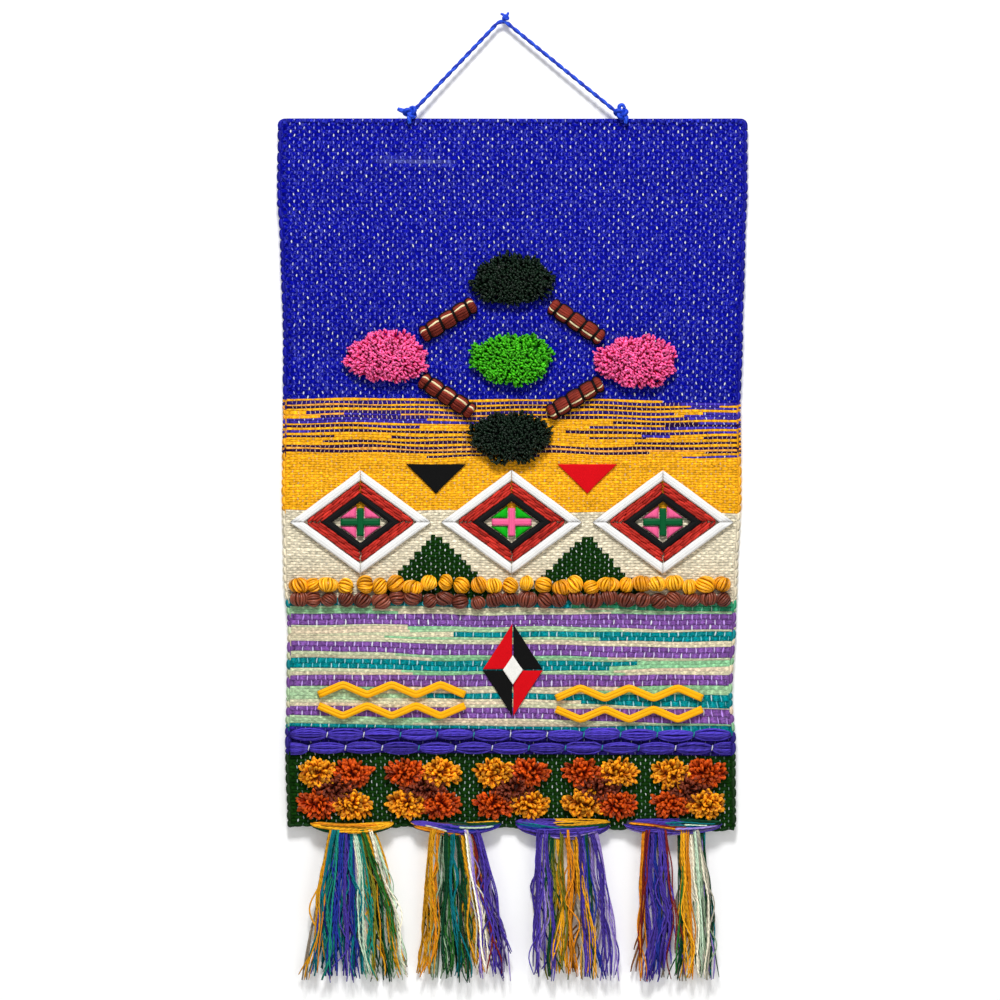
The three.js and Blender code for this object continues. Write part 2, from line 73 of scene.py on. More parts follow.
ROSETTE = {"half_width": 38.0, "half_height": 23.0, "rise": 13.0, "loops": 640}
ROSETTES = {
    "centre": (0, 207, "lime"), "left": (-107, 205, "pink"), "right": (107, 209, "pink"),
    "top": (1, 139, "dark_green"), "bottom": (-1, 274, "dark_green"),
}
ROLL = {"half_width": 7.0, "rise": 9.0, "start": 0.31, "end": 0.72}
ROLLS = {
    "upper_left": ("top", "left"), "upper_right": ("top", "right"), "lower_left": ("bottom", "left"),
    "lower_right": ("bottom", "right"),
}
LOZENGE = {"down": 347.0, "pitch": 130.0, "half_width": 61.0, "half_height": 45.0}
WHITE_STRIP = {"width": 7.5, "rise": 4.0}
SOUMAK_WIDTH = 8.5
BLACK_RING = {"width": 6.0, "rise": 4.0}
LOZENGES = {"left": (-1, "green", "pink"), "middle": (0, "pink", "bright_green"), "right": (1, "green", "pink")}
LOZENGE_SIDES = ["upper_right", "lower_right", "lower_left", "upper_left"]
CROSS = {"half_length": 17.0, "half_height": 12.0, "bar_width": 6.0, "rise": 4.0}
FELT_THICKNESS = 1.5
FELT_TRIANGLE = {"across": 65.0, "down": 297.0, "half_width": 26.0, "height": 26.0}
FELT_DIAMOND = {"across": 1.0, "down": 474.0, "half_width": 26.0, "half_height": 40.0, "clear": 0.3}
FELT_CENTRE = {"half_width": 9.0, "half_height": 13.0}
KNOT_ROW = {"count": 27, "left": -191.0, "right": 189.0}
KNOT_ROWS = {"mustard_knot_row": 401.0, "brown_knot_row": 413.4}
ZIGZAG = {"half_width": 3.2, "rise": 4.5, "depth": 9.0, "peaks": 3, "clear": 0.4}
CHAINS = {"left": (-166, -40, 500), "right": (38, 164, 503)}
PLAIT = {"segments": 12, "half_height": 5.4, "rise": 6.0, "left": -190.0, "right": 188.0}
PLAITS = {"plait_upper": (529.6, 0.0), "plait_lower": (541.0, 0.5)}
FLOWER = {"rise": 8.0, "loops": 74}
POSIES = {"count": 5, "pitch": 76.0, "across": 0.0, "down": 576.0}
POSY_HEART = {"half_width": 18.0, "half_height": 9.5}
POSY_PETAL = {"half_width": 16.5, "half_height": 9.3, "aside": 15.0, "above": 13.5}
SWAG = {"ends": 605.8, "rise": 9.0}
STRANDS = {"top": 611.0, "end": 743.0}

# Colours of the cloth's yarns.
DYES = {
    "blue": "#05098c", "violet": "#392a98", "plum": "#2a1870", "dusk": "#2a0f3e", "golden": "#f3a818",
    "orange_thread": "#f0a040", "cream": "#d5caaa", "mint": "#85be8e", "rose": "#d4ae9c", "wool": "#ded3b8",
    "purple": "#734990", "teal": "#00787f", "forest": "#0e3007", "navy": "#2a1e7a", "sea_green": "#2f8f66",
    "warp": "#e9edf2", "warm_warp": "#ecc298",
}


def linear(hex_colour):
    """A hexadecimal sRGB colour as linear red, green and blue."""
    parts = np.array([int(hex_colour[i : i + 2], 16) for i in (1, 3, 5)]) / 255
    return np.where(parts <= 0.04045, parts / 12.92, ((parts + 0.055) / 1.055) ** 2.4)


def yarn_shades(colour, count, rng, spread):
    """Linear colours near one dye, lighter or darker from strand to strand."""
    return linear(colour) * np.clip(rng.normal(1, spread, (count, 1)), 0.45, 1.7)


def lerp(a, b, t):
    """The place a share t of the way from a to b."""
    return a + (b - a) * t


def unit(v):
    """Each vector divided by its own length."""
    return v / np.maximum(np.linalg.norm(v, axis=-1, keepdims=True), 1e-9)


def sine(turns):
    """The sine of an angle in whole turns."""
    return np.sin(2 * np.pi * turns)


# ---------------- places on the cloth

def wave_depth(across, down):
    """Sum over the slow waves of depth times the sine of the places' share of each wave's lengths."""
    return sum(d * np.sin(2 * np.pi * (across / a + down / b) + p) for d, a, b, p in WAVES)


def on_cloth(across, down, proud):
    """The point that lies "proud" in front of the cloth's front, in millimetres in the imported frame."""
    across, down, proud = np.broadcast_arrays(*(np.asarray(v, float) for v in (across, down, proud)))
    y = -PANEL["thickness"] / 2 + wave_depth(across, down) - proud
    return np.stack([PANEL["centre_x"] + across, y, -PANEL["top_drop"] - down], -1)


def half_width_at(down, widths):
    """Half a cosine wave between each two given half widths."""
    down = np.clip(down, EDGE_DEPTHS[0], EDGE_DEPTHS[-1])
    after = np.clip(np.searchsorted(EDGE_DEPTHS, down), 1, len(EDGE_DEPTHS) - 1)
    t = (down - EDGE_DEPTHS[after - 1]) / (EDGE_DEPTHS[after] - EDGE_DEPTHS[after - 1])
    return lerp(widths[after - 1], widths[after], (1 - np.cos(np.pi * t)) / 2)


def cloth_edge(down, share):
    """Across at a share, 0 to 1, of the cloth's own width at that depth."""
    return lerp(-half_width_at(down, EDGE_LEFT), half_width_at(down, EDGE_RIGHT), share)


def corner_drop(inside):
    """How far the cloth's top lies below its level at a distance from its side, where the corner is rounded."""
    r = PANEL["corner_radius"]
    return r - np.sqrt(r**2 - np.clip(r - inside, 0, r) ** 2)


# ---------------- mesh makers

def in_rows(parts, width):
    """One row of numbers for each corner, from an array or a list of arrays."""
    return np.concatenate([np.reshape(part, (-1, width)) for part in (parts if isinstance(parts, list) else [parts])])


class Batch:
    """Points and faces of one or more shapes, with a colour, a yarn place and a bake place at each corner."""

    def __init__(self, points, faces, colours, yarn, bake, area=1.0):
        self.points, self.faces, self.area = in_rows(points, 3), faces, area
        self.colours, self.yarn, self.bake = in_rows(colours, 4), in_rows(yarn, 2), in_rows(bake, 2)


def merged(batches):
    """One batch from several. Each keeps its own level band of the bake map, as high as its share of area."""
    total = sum(b.area for b in batches)
    faces, start, floor, bakes = [], 0, 0.0, []
    for b in batches:
        faces += [f + start for f in b.faces]
        start += len(b.points)
        bakes.append(b.bake * [1, b.area / total * 0.98] + [0, floor])
        floor += b.area / total
    points, colours, yarn = ([getattr(b, part) for b in batches] for part in ("points", "colours", "yarn"))
    return Batch(points, faces, colours, yarn, bakes, total)


def placed(name, data):
    """A new object in the scene."""
    made = bpy.data.objects.new(name, data)
    bpy.context.scene.collection.objects.link(made)
    return made


def make_piece(name, batch, finish, slot, *replaces):
    """Puts a batch into a mesh object at the origin that rides on the body and stands for CAD nodes."""
    mesh = bpy.data.meshes.new(name)
    sizes = np.concatenate([np.full(len(f), f.shape[1]) for f in batch.faces])
    corners = in_rows(batch.faces, 1)[:, 0]
    mesh.vertices.add(len(batch.points))
    mesh.vertices.foreach_set("co", (batch.points * MM).astype(np.float32).ravel())
    mesh.loops.add(len(corners))
    mesh.loops.foreach_set("vertex_index", corners.astype(np.int32))
    mesh.polygons.add(len(sizes))
    mesh.polygons.foreach_set("loop_start", (np.cumsum(sizes) - sizes).astype(np.int32))
    mesh.polygons.foreach_set("use_smooth", np.full(len(sizes), True))
    mesh.update(calc_edges=True)
    for map_name, places in (("Yarn", batch.yarn), ("OFBake", batch.bake)):
        layer = mesh.uv_layers.new(name=map_name, do_init=False)
        layer.data.foreach_set("uv", places.astype(np.float32).ravel())
    colour = mesh.attributes.new("YarnColour", "FLOAT_COLOR", "CORNER")
    colour.data.foreach_set("color", batch.colours.astype(np.float32).ravel())
    mesh.materials.append(finish)
    mesh.validate()
    piece = placed(name, mesh)
    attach(piece, "root")
    if replaces:
        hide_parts(*replaces)
    return piece


def outward(points, faces):
    """Turns the faces of a closed shape round if its signed volume is negative."""
    volume = 0.0
    for f in faces:
        for k in range(1, f.shape[1] - 1):
            a, b, c = points[f[:, 0]], points[f[:, k]], points[f[:, k + 1]]
            volume += np.einsum("ij,ij->", a, np.cross(b, c))
    return [f[:, ::-1] for f in faces] if volume < 0 else faces


def grid_faces(rows, columns, wrap=False):
    """Quads between neighbouring points of a grid of rows and columns."""
    i, j = np.meshgrid(np.arange(rows - 1), np.arange(columns if wrap else columns - 1), indexing="ij")
    k = (j + 1) % columns
    quads = [i * columns + j, (i + 1) * columns + j, (i + 1) * columns + k, i * columns + k]
    return np.stack(quads, -1).reshape(-1, 4)


def tints(count, colour):
    """The colour of each of a number of tubes or corners, with an opaque fourth part."""
    tint = np.ones((count, 4))
    tint[:, :3] = colour
    return tint


def tubes(paths, radius, sides, plane=FRONT, colour=(1, 1, 1), closed=False, turn=0.0, shade=None):
    """Round tubes along many paths at once: each ring is the path's point plus the radius times the cosine of
    the angle along one side vector plus its sine along another, both square to the path. The rings of one
    path are joined in turn, and its ends are closed unless it is a loop. The yarn map runs along each tube in
    tens of millimetres and once round it. "shade" multiplies the colour along the tubes, by one number or by
    one for each of red, green and blue."""
    paths, plane, radius = (np.asarray(v, float) for v in (paths, plane, radius))
    paths = paths[None] if paths.ndim == 2 else paths
    count, steps, _ = paths.shape
    along = unit(np.roll(paths, -1, 1) - np.roll(paths, 1, 1) if closed else np.gradient(paths, axis=1))
    side = unit(np.cross(plane[:, None] if plane.ndim == 2 else plane, along))
    up = np.cross(along, side)
    radius = np.broadcast_to(radius[:, None] if radius.ndim == 1 else radius, (count, steps))
    angle = turn + 2 * np.pi * np.arange(sides) / sides
    ring = np.cos(angle)[:, None] * side[:, :, None] + np.sin(angle)[:, None] * up[:, :, None]
    points = paths[:, :, None] + radius[:, :, None, None] * ring

    stretches = np.arange(steps if closed else steps - 1)
    t, i, k = np.meshgrid(np.arange(count), stretches, np.arange(sides), indexing="ij")
    nxt, knx = (i + 1) % steps, (k + 1) % sides
    quads = np.stack([(t * steps + a) * sides + b for a, b in ((i, k), (i, knx), (nxt, knx), (nxt, k))], -1)
    faces = [quads.reshape(-1, 4)]

    gone = np.linalg.norm(np.diff(paths, axis=1, append=paths[:, : int(closed)]), axis=2)
    length = np.concatenate([np.zeros((count, 1)), np.cumsum(gone, 1)], 1)
    u = length[t[..., None], i[..., None] + [0, 0, 1, 1]] / 10
    v = (k[..., None] + [0, 1, 1, 0]) / sides
    mean_length, mean_round = length[:, -1].mean(), 2 * np.pi * radius.mean()
    rows = int(np.clip(round(np.sqrt(count * mean_length / mean_round)), 1, count))
    columns = -(-count // rows)
    spot = t[..., None]
    whole = np.maximum(length[:, -1], 1e-6)[spot]
    bake = [(spot % columns + 0.02 + 0.96 * u * 10 / whole) / columns, (spot // columns + 0.04 + 0.92 * v) / rows]
    yarns, bakes = [np.stack([u, v], -1)], [np.stack(bake, -1)]

    tint = tints(count, colour)
    colours = [np.repeat(tint, quads.size // count, axis=0)]
    if shade is not None:
        shade = np.asarray(shade, float)
        shade = np.broadcast_to(shade if shade.ndim == 3 else shade[..., None], (count, steps, 3))
        colours[0][:, :3] *= shade[spot, np.stack([i, i, nxt, nxt], -1)].reshape(-1, 3)
    ends = [] if closed else [(np.arange(sides)[::-1], 0, 0.01), (np.arange(sides), -1, 0.99)]
    for cap, where, middle in ends:
        faces.append((np.arange(count) * steps + where % steps)[:, None] * sides + cap)
        yarns.append(np.repeat(length[:, where] / 10, sides)[:, None] * [1, 0] + [0, 0.5])
        shift = np.stack([np.cos(angle), np.sin(angle)], -1) * 0.01 + [middle, 0.5]
        cell = np.stack([np.arange(count) % columns, np.arange(count) // columns], -1)[:, None] + shift
        bakes.append(cell / [columns, rows])
        end_tint = tint * (1 if shade is None else np.append(shade[:, where], np.ones((count, 1)), 1))
        colours.append(np.repeat(end_tint, sides, axis=0))
    return Batch(points, faces, colours, yarns, bakes, count * mean_length * mean_round)


def ring_batch(rings, closed=False, colour=(1, 1, 1)):
    """Closed sections (steps, sides, 3) joined into a tube; an open tube gets a flat cap at both ends. The
    yarn map runs along the tube in tens of millimetres and once round the section."""
    rings = np.asarray(rings)
    steps, sides, _ = rings.shape
    i, k = np.meshgrid(np.arange(steps if closed else steps - 1), np.arange(sides), indexing="ij")
    nxt, knx = (i + 1) % steps, (k + 1) % sides
    faces = [np.stack([i * sides + k, i * sides + knx, nxt * sides + knx, nxt * sides + k], -1).reshape(-1, 4)]
    middle = rings.mean(1)
    gone = np.linalg.norm(np.diff(middle, axis=0, append=middle[: int(closed)]), axis=1)
    length = np.concatenate([[0], np.cumsum(gone)])
    u = length[i[..., None] + [0, 0, 1, 1]].reshape(-1, 4)
    v = ((k[..., None] + [0, 1, 1, 0]) / sides).reshape(-1, 4)
    yarns, bakes = [np.stack([u / 10, v], -1)], [np.stack([0.02 + 0.96 * u / length[-1], 0.02 + 0.96 * v], -1)]
    if not closed:
        faces += [np.arange(sides)[::-1][None], ((steps - 1) * sides + np.arange(sides))[None]]
        yarns += [np.full((1, sides, 2), (end, 0.5)) for end in (0.0, length[-1] / 10)]
        bakes += [np.full((1, sides, 2), (end, 0.5)) for end in (0.01, 0.99)]
    turned = outward(rings.reshape(-1, 3), faces)
    if turned is not faces:
        yarns, bakes = ([part[:, ::-1] for part in parts] for parts in (yarns, bakes))
    colours = tints(sum(f.size for f in faces), colour)
    around = np.linalg.norm(np.diff(rings[0], axis=0), axis=1).sum()
    return Batch(rings, turned, colours, yarns, bakes, length[-1] * around)


def smooth_route(points, count):
    """A Catmull-Rom curve through the points: each stretch is the cubic whose slope at a point is half the
    way between that point's neighbours. It is then sampled at even distances."""
    p = np.asarray(points, float)
    p = np.concatenate([[2 * p[0] - p[1]], p, [2 * p[-1] - p[-2]]])
    t = np.linspace(0, 1, 24, endpoint=False)[:, None]
    a, b, c, d = p[:-3, None], p[1:-2, None], p[2:-1, None], p[3:, None]
    curve = 0.5 * (2 * b + (c - a) * t + (2 * a - 5 * b + 4 * c - d) * t**2 + (3 * b - a - 3 * c + d) * t**3)
    curve = np.concatenate([curve.reshape(-1, p.shape[1]), p[-2:-1]])
    gone = np.concatenate([[0], np.cumsum(np.linalg.norm(np.diff(curve, axis=0), axis=1))])
    wanted = np.linspace(0, gone[-1], count)
    return np.stack([np.interp(wanted, gone, curve[:, j]) for j in range(p.shape[1])], -1)


# ---------------- finishes

class Node:
    """A shader node with its settings, and with inputs set to plain values or joined to signals. Its outputs are
    read as signals, as in node["Normal"]."""

    def __init__(self, tree, kind, inputs=None, **settings):
        self.tree, self.made = tree, tree.nodes.new(kind)
        for key, value in settings.items():
            setattr(self.made, key, value)
        for key, value in (inputs or {}).items():
            join(value, self.made.inputs[key])

    def __getitem__(self, key):
        return Signal(self.tree, self.made.outputs[key])


class Signal:
    """A number, vector or colour that one node gives to others. Arithmetic on it adds a maths node."""

    def __init__(self, tree, socket):
        self.tree, self.socket = tree, socket

    def maths(self, operation, *others):
        """What a maths node makes of this signal and the others."""
        return Node(self.tree, "ShaderNodeMath", dict(enumerate((self, *others))), operation=operation)[0]

    def vector(self, operation, *others, **named):
        """What a vector maths node makes of this signal and the others."""
        inputs = {**dict(enumerate((self, *others))), **named}
        return Node(self.tree, "ShaderNodeVectorMath", inputs, operation=operation)[0]

    def __add__(self, other):
        return self.maths("ADD", other)

    def __sub__(self, other):
        return self.maths("SUBTRACT", other)

    def __rsub__(self, other):
        return Node(self.tree, "ShaderNodeMath", {0: other, 1: self}, operation="SUBTRACT")[0]

    def __mul__(self, other):
        return self.maths("MULTIPLY", other)

    def __truediv__(self, other):
        return self.maths("DIVIDE", other)

    def __pow__(self, other):
        return self.maths("POWER", other)

    def __abs__(self):
        return self.maths("ABSOLUTE")

    def held(self):
        """The last operation's result, held between 0 and 1."""
        self.socket.node.use_clamp = True
        return self

    def rising(self, low, high):
        """0 below low, 1 above high, and smooth between."""
        inputs = {"Value": self, "From Min": low, "From Max": high}
        return Node(self.tree, "ShaderNodeMapRange", inputs, interpolation_type="SMOOTHSTEP")["Result"]

    def noise(self, scale, detail=2.0, **more):
        """Smooth noise at this place, mostly between 0.2 and 0.8."""
        inputs = {"Vector": self, "Scale": scale, "Detail": detail, **more}
        return Node(self.tree, "ShaderNodeTexNoise", inputs)["Fac"]

    def parts(self, kind="XYZ"):
        """A node that gives a place's X, Y and Z, or a colour's Red, Green and Blue."""
        return Node(self.tree, "ShaderNodeSeparate" + kind, {0: self})


def join(value, socket):
    """Links a signal to an input, or sets it to a plain value."""
    if isinstance(value, Signal):
        value.tree.links.new(value.socket, socket)
    else:
        socket.default_value = value


def mixed_colour(tree, factor, a, b):
    """Colour a where the factor is 0 and b where it is 1."""
    return Node(tree, "ShaderNodeMix", {0: factor, 6: a, 7: b}, data_type="RGBA")[2]


def new_group(name, inputs, outputs):
    """An empty shader node group with named inputs, each a (kind, default), and named outputs."""
    group = bpy.data.node_groups.new(name, "ShaderNodeTree")
    for key, (kind, default) in inputs.items():
        socket = group.interface.new_socket(key, in_out="INPUT", socket_type="NodeSocket" + kind)
        if default is not None:
            socket.default_value = default
    for key, kind in outputs.items():
        group.interface.new_socket(key, in_out="OUTPUT", socket_type="NodeSocket" + kind)
    return group, Node(group, "NodeGroupInput")


def twisted_yarn_group():
    """Plies wound round a yarn. Their height is the sine of half a turn for each ply, where the turns come from
    the place along the yarn plus the place round it."""
    group, given = new_group(
        "Twisted Yarn",
        {"Yarn Place": ("Vector", None), "Plies": ("Float", 2.0), "Turns": ("Float", 2.0)},
        {"Ply Height": "Float", "Groove": "Float"},
    )
    place = given["Yarn Place"].parts()
    turns = place["X"] * given["Turns"] + place["Y"] * given["Plies"]
    height = abs((turns * np.pi).maths("SINE"))
    Node(group, "NodeGroupOutput", {"Ply Height": height, "Groove": 1.0 - height.rising(0.0, 0.55)})
    return group


def wool_colour_group():
    """Dyed wool: cloudy lots of lighter and darker dye, fine fibre specks, and painted shade in the grooves between
    plies.
    """
    group, given = new_group(
        "Wool Colour",
        {
            "Colour": ("Color", (0.5, 0.5, 0.5, 1)), "Groove": ("Float", 0.0), "Groove Shade": ("Float", 0.4),
            "Place": ("Vector", None), "Mottle Scale": ("Float", 250.0), "Mottle": ("Float", 0.15),
        },
        {"Colour": "Color", "Fuzz": "Float"},
    )
    cloud = given["Place"].noise(given["Mottle Scale"], Roughness=0.6)
    fibre = given["Place"].noise(1600.0, 1.0)
    lots = (cloud * 2.0 - 1.0) * given["Mottle"] + 1.0
    specks = fibre * 0.24 + 0.88
    # The grooves are darkened here as painted shade.
    value = lots * specks * (1.0 - given["Groove"] * given["Groove Shade"])
    Node(group, "NodeGroupOutput", {"Colour": given["Colour"].vector("SCALE", Scale=value), "Fuzz": fibre})
    return group


TWISTED_YARN = twisted_yarn_group()
WOOL_COLOUR = wool_colour_group()


def new_material(name):
    """An empty material, with its node tree and the place on the object, in metres."""
    material = bpy.data.materials.new(name)
    material.use_nodes = True
    tree = material.node_tree
    tree.nodes.clear()
    return material, tree, Node(tree, "ShaderNodeTexCoord")["Object"]


def finish_surface(material, colour, height, bump, roughness, specular):
    """The surface shader of every finish here: the colour with a soft shine and a small relief."""
    tree = colour.tree
    relief = Node(tree, "ShaderNodeBump", {"Strength": 1.0, "Distance": bump, "Height": height})["Normal"]
    look = {"Base Color": colour, "Roughness": roughness, "Normal": relief, "Specular IOR Level": specular}
    Node(tree, "ShaderNodeOutputMaterial", {"Surface": Node(tree, "ShaderNodeBsdfPrincipled", look)["BSDF"]})
    return material


def twisted(tree, plies, turns):
    """The twisted yarn of a piece, with so many turns for each ten millimetres of its length."""
    yarn = Node(tree, "ShaderNodeUVMap", uv_map="Yarn")["UV"]
    return Node(tree, "ShaderNodeGroup", {"Yarn Place": yarn, "Plies": plies, "Turns": turns}, node_tree=TWISTED_YARN)


def dyed_wool(tree, colour, place, mottle, scale=250.0, groove=0.0, groove_shade=0.0):
    """The dyed wool of a piece, in one dye or in the colours that the piece carries."""
    inputs = {
        "Colour": colour, "Groove": groove, "Groove Shade": groove_shade, "Place": place, "Mottle Scale": scale,
        "Mottle": mottle,
    }
    return Node(tree, "ShaderNodeGroup", inputs, node_tree=WOOL_COLOUR)


def wool_yarn(name, plies, turns, groove_shade, mottle, roughness=0.6, specular=0.1):
    """Dyed wool yarn in the colours that the piece carries, its plies wound round each strand, with painted shade in
    their grooves.
    """
    material, tree, place = new_material(name)
    dye = Node(tree, "ShaderNodeAttribute", attribute_name="YarnColour")["Color"]
    ply = twisted(tree, plies, turns)
    wool = dyed_wool(tree, dye, place, mottle, groove=ply["Groove"], groove_shade=groove_shade)
    height = wool["Fuzz"] * 0.35 + ply["Ply Height"]
    return finish_surface(material, wool["Colour"], height, 0.0004, roughness, specular)


def satin_padding(name, colour, threads=5.0, gloss=0.5):
    """A padded strip covered in smooth thread laid along it: fine thread lines, a little painted shade in their
    grooves, and a soft shine.
    """
    material, tree, place = new_material(name)
    ply = twisted(tree, threads, 0.04)
    wool = dyed_wool(tree, (*linear(colour), 1), place, 0.06, 120.0, ply["Groove"], 0.12)
    return finish_surface(material, wool["Colour"], ply["Ply Height"], 0.00015, gloss, 0.12)


def felted_wool(name, colour):
    """Pressed felt: matted fibres in every direction, with faint clouds in the dye."""
    material, tree, place = new_material(name)
    wool = dyed_wool(tree, (*linear(colour), 1), place, 0.07, 90.0)
    return finish_surface(material, wool["Colour"], place.noise(700.0, 4.0, Distortion=1.5), 0.0003, 0.9, 0.05)


def woven_cloth(name):
    """Plain weave. In each pick the weft passes over every other warp, as a rounded float two warps long, and the
    white warp shows as a fleck between two floats, where warp number plus pick number is odd. Picks of two thin
    yarns, which have the strongest painted shade at their joints, show it at every warp. Each fleck has its own
    brightness and place, and each float its own brightness. Each float is painted darker as shade at the joints and
    at its ends, and lighter as a painted highlight on its crest. On dark dyes whose joint shade is faint, pale veins
    of painted highlight wander over the floats where a noise is near its middle value, with painted shade in the
    hollows round the flecks. The weave map gives the place in warps and picks. The piece carries each pick's dye, the
    strength of the painted shade at its joints, and how much, how wide and how tall its flecks show."""
    material, tree, place = new_material(name)
    weave = Node(tree, "ShaderNodeUVMap", uv_map="Yarn")["UV"]
    weft = Node(tree, "ShaderNodeAttribute", attribute_name="YarnColour")
    fleck = Node(tree, "ShaderNodeAttribute", attribute_name="Fleck")["Vector"].parts()
    dye, joint_shade, much, width, height = weft["Color"], weft["Alpha"], fleck["X"], fleck["Y"], fleck["Z"]
    spot = weave.parts()
    pick = spot["Y"].maths("FLOOR")
    level = spot["Y"] - pick - 0.5
    warp = weave.noise(0.45, 1.0) * 0.9 + (spot["X"] - 0.45)

    def own_luck(shift):
        """Three random numbers that are the same all over one cell two warps wide and one pick tall."""
        cell = ((warp + pick + shift) * 0.5).maths("FLOOR")
        both = Node(tree, "ShaderNodeCombineXYZ", {0: cell, 1: pick, 2: shift})[0]
        return Node(tree, "ShaderNodeTexWhiteNoise", {"Vector": both}, noise_dimensions="3D")["Color"].parts("Color")

    # The warp's flecks: ovals at every second warp, or at every warp in picks of two thin yarns.
    luck, next_luck = own_luck(0.0), own_luck(1.0)
    often = joint_shade.maths("GREATER_THAN", 0.65)
    from_fleck = (warp + pick).maths("FLOORED_MODULO", 2.0 - often) - (often * -0.5 + 1.0)
    over = 1.0 - abs(from_fleck)
    wide = ((from_fleck + (luck["Green"] * 0.16 - 0.08)) / width) ** 2.0
    tall = ((level + (luck["Blue"] * 0.3 - 0.15)) / height) ** 2.0
    bright = luck["Red"] ** 2.2
    seen = ((1.0 - (wide + tall).rising(0.3, 1.3)) * (much * (bright * 0.25 + 0.75))).held()
    veiled = dye.vector("MULTIPLY_ADD", (3.0, 3.0, 3.0), (0.13, 0.15, 0.19))
    warp_colour = mixed_colour(tree, bright, veiled, (*linear(DYES["warp"]), 1))
    warp_colour = mixed_colour(tree, often * 0.8, warp_colour, (*linear(DYES["warm_warp"]), 1))

    # The weft's floats: their crest, which is 0 at the joints between picks and at the floats' ends. Where it is low
    # the colour is painted darker as shade, and where it is high it is painted lighter as a highlight.
    clouds = weave.vector("MULTIPLY", (1.0, 0.7, 1.0)).noise(0.9, Distortion=0.8)
    soft = (0.75 - joint_shade).held()
    edge = abs(((clouds - 0.5) * (soft * 1.6) + level) * 2.0) ** 4.0
    float_end = over ** (height * 16.0 - 4.0)
    float_end = float_end * ((next_luck["Blue"] - 1.0) * soft * 1.8) + float_end
    crest = 1.0 - (edge * 0.8 + float_end).maths("MINIMUM", 1.0)
    # A painted highlight on the floats' crests, away from the flecks.
    shine = crest * (1.0 - over.rising(0.05, 0.5))
    fibres = weave.vector("MULTIPLY", (1.6, 5.0, 1.0)).noise(1.0, 3.0)
    # Where the crest is low, the wool is darkened as painted shade, by the joint strength.
    wool = dyed_wool(tree, dye, place, 0.24, 300.0, 1.0 - crest, joint_shade)
    lit = shine * 0.3 + ((fibres - 0.5) * (joint_shade * 2.0 + 1.7) + 0.97)
    lit = lit * ((next_luck["Red"] - 0.5) * joint_shade * 0.7 + 1.03)

    # Painted shade in the hollows round the flecks, and pale veins of painted highlight, on dark dyes with faint
    # joint shade.
    dye_parts = dye.parts("Color")
    flat = soft * (1.0 - dye_parts["Green"]) ** 3.0
    painted_vein_highlight = (1.0 - abs(clouds - 0.5).rising(0.004, 0.034)) * flat
    lit = lit * (over ** 2.0 * flat * -0.9 + 1.0)
    pale = dye.vector("ADD", dye_parts["Blue"].vector("MULTIPLY", (0.42, 0.46, 0.5)))
    pale = pale.vector("ADD", dye_parts["Green"].vector("MULTIPLY", (0.8, 3.0, 0.6)))
    dyed = wool["Colour"].vector("SCALE", Scale=lit).vector("ADD", pale.vector("SCALE", Scale=painted_vein_highlight * 0.5))

    colour = mixed_colour(tree, seen, dyed, warp_colour)
    relief = fibres * 0.35 + (crest * (joint_shade * 1.5 + 0.1).held()).maths("MAXIMUM", seen)
    return finish_surface(material, colour, relief, 0.0006, 0.8, 0.03)


# ---------------- camera, lights and stage

PICTURE_WIDTH = 0.86  # width of what the camera sees at the cloth
CAMERA_AWAY = 4.0
SENSOR = 36.0
VIEW_CENTRE = Vector((-0.0015, 0.0, -0.4095))
WALL_AWAY = 0.0065
FLOOR_LEVEL = -1.25


def make_camera():
    """A long lens square to the wall. Its focal length is the sensor's width times its distance from the cloth,
    over the width of what it sees there."""
    camera = placed("Camera", bpy.data.cameras.new("Camera"))
    camera.data.sensor_width = SENSOR
    camera.data.lens = SENSOR * CAMERA_AWAY / PICTURE_WIDTH
    camera.data.clip_end = 50.0
    camera.location = VIEW_CENTRE + Vector((0, -CAMERA_AWAY, 0))
    camera.rotation_euler = (np.pi / 2, 0, 0)
    bpy.context.scene.camera = camera


def add_light(name, place, size, power):
    """A square lamp that faces the middle of the cloth."""
    lamp = bpy.data.lights.new(name, "AREA")
    lamp.size, lamp.energy = size, power
    light = placed(name, lamp)
    light.location = place
    light.rotation_euler = (VIEW_CENTRE - Vector(place)).to_track_quat("-Z", "Y").to_euler()


def flat_piece(name, corners, material):
    """A stage piece with four corners."""
    mesh = bpy.data.meshes.new(name)
    mesh.from_pydata(corners, [], [(0, 1, 2, 3)])
    mesh.materials.append(material)
    piece = placed(name, mesh)
    return piece


